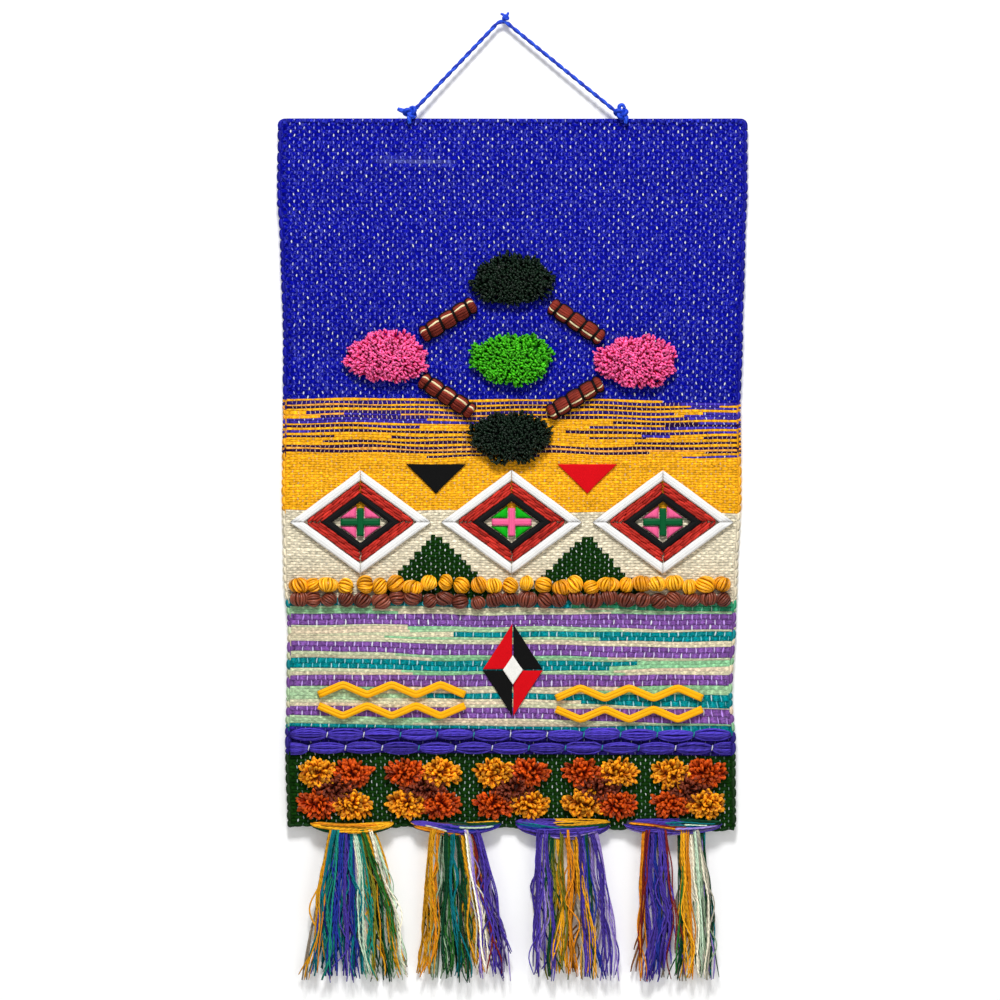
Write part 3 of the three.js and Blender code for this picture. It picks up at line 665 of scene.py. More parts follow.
def make_stage():
    """A pale floor well below the tassels, and a white wall just behind the cloth. The wall glows a little, so
    that shadows on it stay faint, and it doesn't show from behind."""
    world = bpy.data.worlds.new("Studio")
    bpy.context.scene.world = world
    world.use_nodes = True
    background = world.node_tree.nodes["Background"]
    background.inputs["Color"].default_value = (1, 1, 1, 1)
    seen = Node(world.node_tree, "ShaderNodeLightPath")["Is Camera Ray"]
    join(seen * 0.66 + 0.34, background.inputs["Strength"])

    add_light("Key", (-0.08, -1.7, 1.6), 0.6, 70)
    add_light("Fill", (1.7, -2.3, -0.2), 1.6, 9)
    add_light("Rear", (0.6, 2.2, 0.6), 1.4, 40)

    paint, tree, place = new_material("pale_floor")
    cloud = place.noise(3.0)
    colour = mixed_colour(tree, cloud, (0.80, 0.80, 0.79, 1), (0.84, 0.84, 0.83, 1))
    finish_surface(paint, colour, cloud, 0.0002, 0.8, 0.1)
    corners = [(x, y, FLOOR_LEVEL) for x, y in ((-1.2, -1.0), (1.2, -1.0), (1.2, 1.0), (-1.2, 1.0))]
    flat_piece("Floor", corners, paint)

    paint, tree, _ = new_material("white_wall")
    glow = Node(tree, "ShaderNodeEmission", {"Color": (1, 1, 1, 1), "Strength": 0.08})[0]
    chalk = Node(tree, "ShaderNodeBsdfDiffuse", {"Color": (0.95, 0.95, 0.95, 1)})[0]
    both = Node(tree, "ShaderNodeAddShader", {0: glow, 1: chalk})[0]
    behind = Node(tree, "ShaderNodeNewGeometry")["Backfacing"]
    clear = Node(tree, "ShaderNodeBsdfTransparent")[0]
    surface = Node(tree, "ShaderNodeMixShader", {0: behind, 1: both, 2: clear})[0]
    Node(tree, "ShaderNodeOutputMaterial", {"Surface": surface})
    corners = [(x, WALL_AWAY, z) for x, z in ((-0.9, -1.25), (0.9, -1.25), (0.9, 0.35), (-0.9, 0.35))]
    wall = flat_piece("Wall", corners, paint)
    wall.visible_diffuse = wall.visible_glossy = wall.visible_shadow = wall.visible_transmission = False


make_camera()
make_stage()
bpy.context.scene.view_settings.view_transform = "Standard"


# ---------------- cord and its knots

def hanging_cord():
    """Two strands wound round one another: each strand's centre is the cord's own centre line plus a small
    radius turned evenly along it, half a turn from the other strand."""
    strand_offset, strand_radius, lay_length = 0.62, 1.26, 16.0
    centre = smooth_route(CORD_ROUTE, 330)
    length = np.linalg.norm(np.diff(centre, axis=0), axis=1).sum()
    side = unit(np.cross(WALL_SIDE, unit(np.gradient(centre, axis=0))))
    turn = 2 * np.pi * np.linspace(0, length / lay_length, len(centre)) + np.array([[0], [np.pi]])
    offset = np.cos(turn)[..., None] * side + np.sin(turn)[..., None] * WALL_SIDE
    colour = [linear("#2450d8"), linear("#1c38b8")]
    batch = tubes(centre + strand_offset * offset, strand_radius, sides=7, colour=colour)
    return make_piece("twisted_hanging_cord", batch, CORD_YARN, "cord_yarn", "hanging_cord"), centre * MM


def knot_piece(name, trefoil, ends, seed):
    """An overhand knot: a trefoil, x = sin t + 2 sin 2t and z = cos t - 2 cos 2t with the depth as -sin 3t,
    for its lump, and short bent ends of cord for the rest."""
    rng = np.random.default_rng(seed)
    middle, half, tilt = trefoil
    t = np.linspace(0, 2 * np.pi, 56, endpoint=False)
    x, z = (np.sin(t) + 2 * np.sin(2 * t)) / 3, (np.cos(t) - 2 * np.cos(2 * t)) / 3
    c, s = np.cos(tilt), np.sin(tilt)
    path = np.stack([c * x - s * z, -0.62 * np.sin(3 * t), s * x + c * z], -1) * (np.array(half) - 1.35)
    batches = [tubes(middle + path, 1.8, 8, colour=linear("#1c44cc"), closed=True)]
    for route, thick in ends:
        path = smooth_route(route, 14)
        path[1:-1] += rng.normal(0, 0.06, (12, 3))
        shrink = np.sin(np.linspace(0.5, np.pi - 0.45, 14)) ** 0.35
        batches.append(tubes(path, thick * shrink[None], 8, plane=(0.2, 0.9, 0.3), colour=linear("#2650dc")))
    return make_piece(f"tied_{name}", merged(batches), CORD_YARN, "cord_yarn", name)


CORD_YARN = wool_yarn(
    "blue_cord_yarn", plies=3, turns=1.8, groove_shade=0.35, mottle=0.12, roughness=0.45, specular=0.2,
)
# Each knot: the middle, half sizes and tilt of its trefoil, then its ends, each with its half thickness.
KNOTS = {
    "cord_knot_left": (
        ((-78.3, -3.8, -76.4), (6.8, 4.6, 5.9), 0.5),
        [
            ([(-79, -3.6, -75.9), (-84.5, -3.5, -75.2), (-89.4, -3.1, -73.4)], 2.1),
            ([(-78.2, -4.2, -76.5), (-79.6, -5.4, -81), (-79.0, -4.9, -86.4)], 2.0),
            ([(-77, -3.2, -75.6), (-74.9, -3.0, -73.9), (-73.4, -3.0, -72.9)], 1.8),
        ],
    ),
    "cord_knot_right": (
        ((102.6, -3.8, -77.4), (6.7, 4.6, 5.4), 2.2),
        [
            ([(103, -3.6, -76.2), (100.8, -3.6, -71.8), (103.6, -3.5, -69.8), (106.0, -3.4, -73.0)], 1.7),
            ([(103.4, -4.2, -77.5), (107.0, -4.0, -80.6), (106.2, -3.8, -86.0)], 2.0),
            ([(101.4, -3.2, -77.4), (99.5, -3.0, -76.2), (97.6, -3.0, -75.0)], 1.8),
        ],
    ),
    "cord_knot_top": (
        ((3.3, -1.0, 5.2), (3.0, 2.8, 2.7), 1.2),
        [
            ([(3.4, -1.2, 5.6), (2.2, -1.3, 7.2), (-1.0, -1.1, 8.7)], 1.25),
            ([(3.4, -1.2, 5.6), (4.6, -1.4, 7.2), (5.9, -1.3, 9.8)], 1.2),
        ],
    ),
}

cord, cord_centre = hanging_cord()
knots = [knot_piece(name, *parts, 30 + i) for i, (name, parts) in enumerate(KNOTS.items())]


# ---------------- the woven cloth

WARPS = 96

# Weft yarns: dye, how much the white warp shows, half width of a fleck in warps, half its height in picks, relief,
# and how dark the painted shade is at the joints between the picks.
WEFTS = {
    "B": ("blue", 1.00, 0.15, 0.44, 0.10, 0.08),
    "V": ("violet", 0.95, 0.15, 0.62, 0.70, 0.60),
    "L": ("plum", 0.95, 0.095, 0.80, 0.40, 0.70),
    "D": ("dusk", 0.95, 0.095, 0.80, 0.40, 0.70),
    "Y": ("golden", 0.22, 0.16, 0.56, 0.22, 0.40),
    "O": ("orange_thread", 0.15, 0.16, 0.50, 0.30, 0.35),
    "C": ("cream", 0.05, 0.20, 0.60, 0.16, 0.22),
    "W": ("wool", 0.10, 0.20, 0.52, 0.30, 0.36),
    "M": ("mint", 0.05, 0.20, 0.60, 0.16, 0.24),
    "P": ("purple", 1.00, 0.16, 0.62, 0.75, 0.50),
    "T": ("teal", 0.95, 0.14, 0.62, 0.75, 0.45),
    "S": ("sea_green", 0.50, 0.14, 0.55, 0.40, 0.40),
    "G": ("forest", 0.98, 0.14, 0.52, 0.60, 0.48),
    "N": ("navy", 0.50, 0.14, 0.50, 0.60, 0.60),
}

# The dawn: for each pick, its height in millimetres and its yarn over sixteen parts of the width.
DAWN = [
    (2.0, "YYYYYYYYYYYYYYBB"), (2.7, "LLLLLLLLLLLLLLVV"), (1.5, "OOOYYYYYYYYYYYVY"), (2.1, "DDDDLLDDDDDDDDVV"),
    (1.9, "YYYYYYYYYYYYYYYY"), (2.7, "YLLLLLLLLLLLLLYV"), (1.5, "OOVVOOOOYYYYYYVV"), (2.4, "YLLLLLLLDDDLLLVV"),
    (1.8, "VVVVVYYYYYYYYYYY"), (2.3, "VVVVVVVVYYYDDDVV"), (1.7, "YYYYYYYYYYYYYDDD"), (2.3, "DDDLLYYYYYYLLLVV"),
    (2.0, "YYYYYYYYYYYYYYYY"), (2.1, "VLDDDDDYYYDDDLLV"), (2.4, "YYYYYYYYYYYYYVYY"), (1.8, "DDYYDDDYYYYDDYYD"),
    (2.4, "YYYYYYYYYYYYYYYY"), (1.9, "YYDDDDDDYYYYYDDD"), (2.0, "YYYYYYYYYYYYYYYY"), (2.3, "DDDDDDDDDDDDDDDD"),
    (1.7, "OOOOOOOOOOOOOOOO"), (2.2, "DDDDDDDDDDDDDYYD"), (1.6, "YYYYYYYYYYYYYYYY"), (1.8, "YYYYYDDDDYYYYYVV"),
    (1.9, "YYYYYYYYYYYYYYYY"),
]

# The water: bands with their picks, their heights at the left, middle and right, and their yarn at each. The last
# band, under the plaits, is navy: its own dye, made darker than the plaits as painted shade in the gaps between them.
WATER = [
    (2, (6.5, 7.0, 8.6), "TTS"), (3, (7.3, 6.5, 2.3), "MCM"), (2, (9.4, 8.6, 8.9), "PPP"),
    (1, (1.7, 1.3, 4.5), "CPP"), (2, (5.6, 4.3, 1.5), "CMC"), (1, (2.1, 5.2, 4.5), "CTT"),
    (1, (2.1, 2.1, 4.4), "CMT"), (2, (2.6, 4.3, 5.2), "CCC"), (2, (8.6, 9.5, 8.9), "PPP"),
    (2, (6.0, 4.6, 2.0), "CMC"), (2, (8.6, 9.0, 5.4), "TTM"), (2, (6.5, 2.5, 6.7), "CMC"),
    (2, (9.5, 10.6, 8.9), "PPP"), (2, (5.2, 5.6, 7.9), "MCM"), (1, (3.0, 5.2, 5.6), "MTT"),
    (1, (3.0, 2.1, 5.8), "MCT"), (2, (5.6, 5.2, 1.0), "CCC"), (2, (8.2, 9.4, 12.6), "PPP"),
    (3, (6.5, 6.2, 1.1), "MCM"), (1, (3.0, 2.8, 6.9), "TTT"), (6, (21.5, 20.6, 18.0), "NNN"),
]
DAWN_TOP, DAWN_DEPTH, YELLOW_END, WATER_TOP, WATER_END = 242.0, 51.5, 338.0, 414.0, 546.5
PICKS = {"blue": 75, "yellow": 21, "wool": 32, "green": 22}
# The dark green triangles woven between the lozenges, and the worn place in the blue.
BUSH = {"across": 65, "top": 354.0, "step": 4.9, "slope": 1.02}
WORN = {
    "across": -84, "down": 36.6, "slope": 0.03, "half_width": 37, "half_height": 2.0, "dye": "#8c90a8", "amount": 0.2,
}


def pick_levels(rng):
    """Depth of the boundary above each pick at the left, middle and right, and the yarn letters of each pick
    over the parts of its width."""
    heights, letters = [], []

    def add_band(picks, band, yarns):
        """Picks of the same height, which fill a band."""
        heights.extend([np.array(band) / picks * np.ones(3)] * picks)
        letters.extend([yarns] * picks)

    add_band(PICKS["blue"], DAWN_TOP, "B")
    dawn_scale = DAWN_DEPTH / sum(h for h, _ in DAWN)
    for height, yarns in DAWN:
        add_band(1, height * dawn_scale, yarns)
    add_band(PICKS["yellow"], YELLOW_END - DAWN_TOP - DAWN_DEPTH, "Y")
    add_band(PICKS["wool"], WATER_TOP - YELLOW_END, "W")
    water_scale = (WATER_END - WATER_TOP) / np.sum([h for _, h, _ in WATER], axis=0)
    for picks, band, yarns in WATER:
        add_band(picks, np.array(band) * water_scale, yarns)
    add_band(PICKS["green"], PANEL["height"] - WATER_END, "G")
    heights = np.array(heights) * (1 + rng.normal(0, 0.05, (len(heights), 1)))
    levels = np.concatenate([np.zeros((1, 3)), np.cumsum(heights, axis=0)])
    return levels * PANEL["height"] / levels[-1], letters


def yarn_at(letters, share, rng):
    """The yarn letter of every pick at every share of the width. Where a pick changes yarn, it does so a little
    to one side or the other."""
    chart = np.empty((len(letters), len(share)), dtype="<U1")
    for k, yarns in enumerate(letters):
        wander = np.clip(share + rng.normal(0, 0.05 if len(yarns) == 3 else 0.02), 0, 0.999)
        part = np.digitize(wander, [0.26, 0.74]) if len(yarns) == 3 else (wander * len(yarns)).astype(int)
        chart[k] = np.array(list(yarns))[part]
    return chart


def cloth_chart():
    """Levels (picks + 1, columns + 1) as depth below the top, and the yarn letter of each cell. The levels go from
    the middle to the sides as half a cosine wave and ripple a little. Two dark green triangles with stepped
    sides stand between the lozenges."""
    rng = np.random.default_rng(7)
    levels, letters = pick_levels(rng)
    share = np.linspace(0, 1, 2 * WARPS + 1)
    left, middle, right = levels[:, 0:1], levels[:, 1:2], levels[:, 2:3]
    side = np.where(share < 0.5, left, right)
    down = lerp(middle, side, (1 - np.cos(np.pi * np.abs(2 * share - 1))) / 2)
    inner = np.sin(np.pi * np.clip(down / PANEL["height"], 0, 1))
    calm = np.where(down < DAWN_TOP - 20, 0.35, 1.0)
    ripple = 0.55 * sine(2.3 * share + down / 190) + 0.4 * np.sin(2 * np.pi * (5.1 * share - down / 83) + 1)
    down = down + ripple * inner * calm
    turns, starts = rng.uniform(0.8, 6.5, (3, len(down), 1)), rng.uniform(0, 2 * np.pi, (3, len(down), 1))
    down = down + 0.16 * calm * inner * np.sin(2 * np.pi * turns * share + starts).sum(0)
    cells = yarn_at(letters, (share[:-1] + share[1:]) / 2, rng)
    pick_middle = (down[:-1, :-1] + down[1:, 1:]) / 2
    aside = np.abs(np.abs(lerp(-197, 197, share[:-1])) - BUSH["across"])
    step = np.floor((pick_middle - BUSH["top"]) / BUSH["step"]) * BUSH["step"]
    bush = (aside < step * BUSH["slope"]) & (pick_middle < WATER_TOP) & (pick_middle > BUSH["top"])
    cells[bush] = "G"
    return down, cells


def cell_dyes(levels, cells, rng):
    """The dye of each cell. Cream and mint go over into one another in soft stretches, with a little rose in the
    cream, and one pick is worn pale for a hand's width near the top left."""
    picks, columns = cells.shape
    dyes = {letter: linear(DYES[weft[0]]) for letter, weft in WEFTS.items()}
    dye = np.array(list(dyes.values()))[kinds(cells)]
    waves, starts = rng.uniform(0.5, 2.0, (2, picks, 1)), rng.random((2, picks, 1))
    drift = 0.5 + 0.5 * sine(waves * (np.arange(columns) / columns) + starts)
    for letter, other in (("C", "M"), ("M", "C")):
        here = cells == letter
        dye[here] = lerp(dye[here], dyes[other], 0.35 * drift[0][here][:, None])
    here = cells == "C"
    dye[here] = lerp(dye[here], linear(DYES["rose"]), 0.4 * (drift[1] ** 2)[here][:, None])
    aside = lerp(-200, 200, (np.arange(columns) + 0.5) / columns) - WORN["across"]
    above = (levels[:-1, :-1] + levels[1:, 1:]) / 2 - WORN["down"] - WORN["slope"] * aside
    along = np.clip(1 - np.abs(aside) / WORN["half_width"], 0, 1) ** 0.5
    worn = np.exp(-((above / WORN["half_height"]) ** 2)) * along
    return lerp(dye, linear(WORN["dye"]), WORN["amount"] * worn[..., None])


def kinds(cells):
    """The place of each cell's letter in WEFTS."""
    table = {letter: i for i, letter in enumerate(WEFTS)}
    return np.vectorize(table.get)(cells)


def fan(fine, coarse):
    """Triangles between an edge and a coarser edge, where each coarse stretch faces several fine ones."""
    each = (len(fine) - 1) // (len(coarse) - 1)
    apex = np.repeat(coarse[:-1, None], each, 1)
    spokes = np.stack([fine[:-1].reshape(-1, each), fine[1:].reshape(-1, each), apex], -1).reshape(-1, 3)
    return np.concatenate([spokes, np.stack([fine[each::each], coarse[1:], coarse[:-1]], -1)])


def cloth_panel():
    """The cloth's front is a grid of two columns for each warp and two rows for each pick. Its relief is the sine
    over a pick's height times a cosine over every two warps, which is highest where the weft passes over a warp
    and lowest where it dives under the next. The back is a coarser grid with half the rows and a quarter of the
    columns, and fans of triangles close the edges between them."""
    rng = np.random.default_rng(11)
    levels, cells = cloth_chart()
    picks, columns = cells.shape
    rows = 2 * picks
    dye = cell_dyes(levels, cells, rng)
    traits = np.array([weft[1:] for weft in WEFTS.values()])[kinds(cells)]
    fleck, relief_of, joint_shade = traits[..., :3].copy(), traits[..., 3], traits[..., 4:]

    # Depths of the front's rows, from the pick boundaries and the picks' middles, with rounded top corners.
    down = np.empty((rows + 1, columns + 1))
    down[::2] = levels
    down[1::2] = (levels[:-1] + levels[1:]) / 2
    share = np.linspace(0, 1, columns + 1)
    width = half_width_at(0.0, EDGE_LEFT) + half_width_at(0.0, EDGE_RIGHT)
    start = corner_drop(width * np.minimum(share, 1 - share))
    sag = lerp(*BOTTOM_EDGE, share)
    down = start * np.exp(-down / 12) + down / PANEL["height"] * (PANEL["height"] + sag)
    left = -half_width_at(down, EDGE_LEFT) + SELVEDGE
    across = lerp(left, half_width_at(down, EDGE_RIGHT) - SELVEDGE, share)
    across = across + 0.35 * np.sin(down / 23 + 9 * share) * np.sin(np.pi * share)

    # Relief at the vertices: each pick's own, from the cells beside the vertex.
    pick = np.minimum(np.arange(rows + 1) // 2, picks - 1)
    column = np.minimum(np.arange(columns + 1), columns - 1)
    warp_place = np.arange(columns + 1) / 2
    over = 0.5 + 0.5 * np.cos(np.pi * (warp_place + pick[:, None]))
    crest = (np.arange(rows + 1) % 2)[:, None]
    block = rng.normal(1, 0.14, (rows + 1, columns + 1))
    relief = relief_of[pick][:, column] * (crest * (0.45 + 0.55 * over) * block - 0.55)
    front = on_cloth(across, down, relief * np.clip(np.minimum(share, 1 - share) * 60, 0.2, 1))

    # The back follows the same levels behind the cloth, thicker at the rolled top hem.
    back_down = down[::2, ::4]
    hem = np.maximum(0, 1 - back_down / PANEL["hem_depth"]) * PANEL["hem_swell"]
    bulge = 0.3 * np.cos(np.pi * np.indices(back_down.shape).sum(0))
    back = on_cloth(across[::2, ::4], back_down, -PANEL["thickness"] - hem + 0.3 + bulge)

    points = np.concatenate([front.reshape(-1, 3), back.reshape(-1, 3)])
    f = np.arange(front[..., 0].size).reshape(front.shape[:2])
    b = f.size + np.arange(back_down.size).reshape(back_down.shape)
    fans = [fan(f[0], b[0]), fan(f[-1], b[-1])[:, ::-1], fan(f[:, 0], b[:, 0])[:, ::-1], fan(f[:, -1], b[:, -1])]
    fans = np.concatenate(fans)
    faces = [grid_faces(*f.shape), (grid_faces(*b.shape) + f.size)[:, ::-1], fans]

    # Weave places at the corners, in warps and picks.
    grid = np.stack(np.meshgrid(warp_place, np.arange(rows + 1) / 2), -1)
    weave = np.concatenate([grid.reshape(-1, 2), grid[::2, ::4].reshape(-1, 2)])
    corners = np.concatenate([face.ravel() for face in faces])
    bake = weave[corners] * [0.49 / WARPS, -1 / picks] + [0, 1]
    bake[:, 0] += np.where(corners < f.size, 0.0, 0.5)

    # Each face's cell gives it its dye, the strength of the painted shade at its joints and its flecks, which stop
    # beside the selvedge.
    number = np.arange(picks * columns).reshape(picks, columns)
    warp, row = weave[fans[:, 2]].T
    fan_cell = number[np.minimum(row.astype(int), picks - 1), np.minimum((warp * 2).astype(int), columns - 1)]
    front_cell, back_cell = np.repeat(number, 2, axis=0).ravel(), number[:, ::4].ravel()
    cell = np.concatenate([np.repeat(front_cell, 4), np.repeat(back_cell, 4), np.repeat(fan_cell, 3)])
    lot = 1 + rng.normal(0, 0.05, (picks, 1)) + rng.normal(0, 0.07, (picks, columns))
    tint = np.concatenate([dye * lot[..., None], joint_shade], -1)
    fleck[..., 0] *= np.minimum(share[:-1], 1 - share[1:]) * WARPS > 1.0

    batch = Batch(points, faces, tint.reshape(-1, 4)[cell], weave[corners], bake)
    piece = make_piece("woven_panel", batch, woven_cloth("panel_weave_cloth"), "panel_weave", "cloth_panel")
    layer = piece.data.attributes.new("Fleck", "FLOAT_VECTOR", "CORNER")
    layer.data.foreach_set("vector", fleck.reshape(-1, 3)[cell].astype(np.float32).ravel())
    return piece, levels, cells, dye


def weft_turnings(name, side, levels, cells, dye):
    """The weft's turnings at one edge. Each is a fat C: its distance from the edge is one minus the sine of the way
    along it to a low power, so it comes out of the cloth at one pick and goes in again a few picks below. It has the
    dye of the topmost pick that turns there. A core in the picks' dyes, painted a little darker as shade, runs down
    the edge behind them."""
    rng = np.random.default_rng(21 + side)
    column, widths = (0, EDGE_LEFT) if side < 0 else (-1, EDGE_RIGHT)
    edge = np.clip(levels[:, column], 1.2, None)
    letters, dyes = cells[:, column], dye[:, column]
    starts = [0]
    for k in range(1, len(letters)):
        tall = edge[k] - edge[starts[-1]]
        if (letters[k] != letters[k - 1] and tall > 1.4) or tall > rng.uniform(5.0, 8.5):
            starts.append(k)
    top, low = edge[starts], edge[starts[1:] + [len(letters)]]
    thick = np.clip((low - top) * 0.36, 1.0, 2.1)[:, None] * rng.uniform(0.94, 1.06, (len(top), 1))
    t = np.linspace(0, 1, 11)
    down = lerp(top[:, None] + 0.45 * thick, low[:, None] - 0.45 * thick, t)
    out = np.sin(np.pi * np.clip(t, 0.001, 0.999)) ** 0.35
    reach = half_width_at(down, widths) - corner_drop(down) - 0.95 * thick - 1.1 * (1 - out)
    reach = reach + rng.uniform(-0.3, 0.25, (len(top), 1)) * out
    proud = lerp(-thick - 0.5, -0.5 - 0.5 * thick, np.clip(out * 1.6, 0, 1))
    shades = dyes[starts] * rng.uniform(0.9, 1.4, (len(top), 1)) + 0.01
    lumps = tubes(on_cloth(side * reach, down, proud), thick * (0.8 + 0.2 * out), 8, colour=shades)
    line = np.linspace(2.5, PANEL["height"] - 1, 150)
    core = tubes(on_cloth(side * (half_width_at(line, widths) - 3.0), line, -1.4), 1.6, 8)
    # The core is painted a little darker than the picks, as shade behind the turnings.
    shades = dyes[np.clip(np.searchsorted(edge, line[:-1]) - 1, 0, len(dyes) - 1)] * 0.85
    core.colours[: 149 * 32, :3] = np.repeat(shades, 32, axis=0)
    return make_piece(name, merged([lumps, core]), TURNING_YARN, "panel_weave")


def hem_turnings():
    """The warp's turnings over the top hem: one small arch over the edge for every warp, whose depth below the
    top is one minus the sine of the way over it. Every other one is lighter. A short roll follows each
    rounded corner."""
    rng = np.random.default_rng(24)
    share = (np.arange(WARPS) + 0.5) / WARPS
    across = cloth_edge(0.0, share)[:, None] * 0.985 + rng.normal(0, 0.3, (WARPS, 1))
    turn = np.linspace(0.02, 0.98, 9) * np.pi
    inside = np.minimum(share, 1 - share) * 404
    tall = 4.2 + rng.normal(0, 0.6, (WARPS, 1))
    down = tall + corner_drop(inside)[:, None] - (tall - 1.5 + rng.normal(0, 0.18, (WARPS, 1))) * np.sin(turn) ** 0.7
    proud = -PANEL["thickness"] / 2 - 0.5 + (PANEL["thickness"] / 2 + 0.7) * np.cos(turn)
    paths = on_cloth(across + rng.normal(0, 0.7, (WARPS, 1)) * np.cos(turn), down, proud)
    shades = yarn_shades("#171d9a", WARPS, rng, 0.12)
    shades[::2] = yarn_shades("#2a33b6", len(shades[::2]), rng, 0.2)
    parts = [tubes(paths, rng.uniform(1.35, 1.6, WARPS), 6, plane=RIGHT, colour=shades)]
    r = PANEL["corner_radius"]
    way = np.linspace(-0.25, 1.25, 12)
    corner, slide = way.clip(0, 1) * np.pi / 2, way - way.clip(0, 1)
    for side, widths in ((-1, EDGE_LEFT), (1, EDGE_RIGHT)):
        away = half_width_at(0.0, widths) - r + (r - 1.7) * np.cos(corner) - 16 * np.maximum(slide, 0)
        line = r - (r - 1.7) * np.sin(corner) - 16 * np.minimum(slide, 0)
        parts.append(tubes(on_cloth(side * away, line, -1.4), 1.75, 8, colour=linear("#1c2296")))
    return make_piece("hem_turnings", merged(parts), TURNING_YARN, "panel_weave")


def bottom_turnings():
    """The last pick of the cloth: a row of dark green lumps along the bottom edge, each swelling as a sine."""
    rng = np.random.default_rng(25)
    steps = 420
    share = np.linspace(0.004, 0.996, steps)
    lump = np.abs(np.sin(np.pi * (share * 52 + 0.3 * np.sin(23 * share))))
    down = PANEL["height"] + lerp(*BOTTOM_EDGE, share) - 0.9 + 0.5 * np.sin(61 * share) + 0.4 * np.sin(139 * share)
    path = on_cloth(cloth_edge(PANEL["height"], share), down, -1.5)
    batch = tubes(path, (1.2 + 0.75 * lump**0.6)[None], 8, colour=linear("#10380f"))
    tint = 1 + 0.25 * np.sin(47 * share) * np.sin(171 * share) + rng.normal(0, 0.05, steps)
    batch.colours[: (steps - 1) * 8 * 4, :3] *= np.repeat(tint[:-1], 32)[:, None]
    return make_piece("bottom_turnings", batch, TURNING_YARN, "panel_weave")


panel, levels, cells, dye = cloth_panel()
TURNING_YARN = wool_yarn("weft_turning_yarn", plies=5, turns=0.7, groove_shade=0.4, mottle=0.15)
turnings = [
    weft_turnings("turnings_left", -1, levels, cells, dye),
    weft_turnings("turnings_right", 1, levels, cells, dye),
    hem_turnings(),
    bottom_turnings(),
]


# ---------------- loop pile

def dome(middle, levels, sides, colour):
    """Oval rings stacked up from the cloth, each a (half width, half height, lift)."""
    ring = np.linspace(0, 2 * np.pi, sides, endpoint=False)
    wide, tall, lift = np.array(levels).T[..., None]
    rings = on_cloth(middle[0] + wide * np.cos(ring), middle[1] + tall * np.sin(ring), GAP + lift)
    return ring_batch(rings, colour=colour)


def loop_pile(
    middle, half_width, half_height, rise, count, colour, rng, yarn_radius, loop_height, spread, low, crest,
    tilt=0.25, lying=0.0, widths=(0.65, 1.15), steps=7,
):
    """Loops over an oval dome: their feet are spread evenly by the golden angle, and they point mostly away from the
    dome's middle with a turn of their own. Along the half turn from foot to foot the yarn goes sideways as minus the
    cosine and out as the sine to a low power. The more the loops are "lying", the more they point along the cloth and
    show their openings to the front. Along a loop the dye is multiplied by "low" at its feet, as painted shade, and
    by "crest" at its top, as a painted highlight, and the dome under the loops is painted darker than their feet, as
    shade in the gaps."""
    n = np.arange(count) + 0.5
    r = np.sqrt(n / count)
    angle = n * np.pi * (3 - np.sqrt(5)) + rng.normal(0, 0.1, count)
    r = np.clip(r + rng.normal(0, 0.02, count), 0, 1)
    reach = 0.93 + 0.07 * np.sin(3 * angle + rng.uniform(0, 6)) + 0.05 * np.sin(8 * angle + rng.uniform(0, 6))
    x, d = r * np.cos(angle) * reach, r * np.sin(angle) * reach
    wide, tall = half_width - loop_height * 0.75, half_height - loop_height * 0.6
    top = (rise - loop_height) * np.sqrt(np.clip(1 - (r * 0.96) ** 2, 0, 1))
    feet = on_cloth(middle[0] + wide * x, middle[1] + tall * d, 0.5 + top)
    front = (np.sqrt(np.clip(1.05 - r**2, 0, 1)) + 0.25) * (1 - 0.65 * lying)
    facing = np.stack([x * (1.1 + lying), -front, -d * (1.1 + lying)], -1)
    outwards = unit(facing + rng.normal(0, tilt, (count, 3)) * [1, 0.5, 1])
    spin = unit(rng.normal(0, 0.7, (count, 3)) + [0.4, 0, 0.8])
    lean = unit(np.cross(outwards, unit(lerp(spin, FRONT, lying))))
    width = rng.uniform(*widths, count) * yarn_radius * 1.25
    height = loop_height * rng.uniform(0.75, 1.15, count) * (0.95 + 0.2 * r**2)
    t = np.linspace(0.02, 0.98, steps)[:, None] * np.pi
    paths = feet[:, None] - np.cos(t) * (lean * width[:, None])[:, None]
    paths += np.sin(t) ** 0.75 * (outwards * height[:, None])[:, None]
    paths += rng.normal(0, 0.35, (count, 1, 3)) * np.linspace(-1, 1, steps)[:, None]
    radius = yarn_radius * rng.uniform(0.88, 1.12, count)
    # Painted shade at the loops' feet and a painted highlight at their crests.
    shade = lerp(np.array(low), np.array(crest), np.sin(np.linspace(0, np.pi, steps))[None, :, None] ** 2)
    loops = tubes(
        paths, radius, 4, plane=unit(np.cross(lean, outwards)), colour=yarn_shades(colour, count, rng, spread),
        turn=np.pi / 4, shade=shade,
    )

    a = np.linspace(0, np.pi / 2, 6)[:-1]
    body_rise = max(rise - loop_height, 1.2)
    levels = np.stack([0.95 * wide * np.cos(a), 0.95 * tall * np.cos(a), body_rise * np.sin(a)], -1)
    levels = [(0.02, 0.02, 0.0), *levels, (0.02, 0.02, body_rise)]
    # The dome under the loops is painted darker than their feet, as shade in the gaps.
    return [loops, dome(middle, levels, 28, linear(colour) * low * 0.7)]


# Pile yarns: dye, what it is multiplied by at a loop's feet as painted shade and at its crest as a painted highlight,
# in red, green and blue, and the shine.
PILE_DYES = {
    "lime": ("#249c04", (0.4, 0.75, 0.5), (4.0, 1.55, 8.0), 0.2),
    "pink": ("#fa468a", (0.95, 0.3, 0.6), (1.1, 2.6, 1.75), 0.25),
    "dark_green": ("#061a0c", (0.5, 0.6, 0.5), (2.4, 1.6, 1.9), 0.25),
}
# Flower yarns: dye, and what it is multiplied by at a loop's feet as painted shade and at its crest as a painted
# highlight.
FLOWER_DYES = {
    "yellow": ("#f58a0c", (0.5, 0.3, 0.3), (1.2, 1.7, 2.2)),
    "orange": ("#c43a04", (0.5, 0.3, 0.3), (1.35, 2.3, 1.2)),
    "brown": ("#642414", (0.5, 0.4, 0.4), (1.9, 2.5, 2.4)),
}

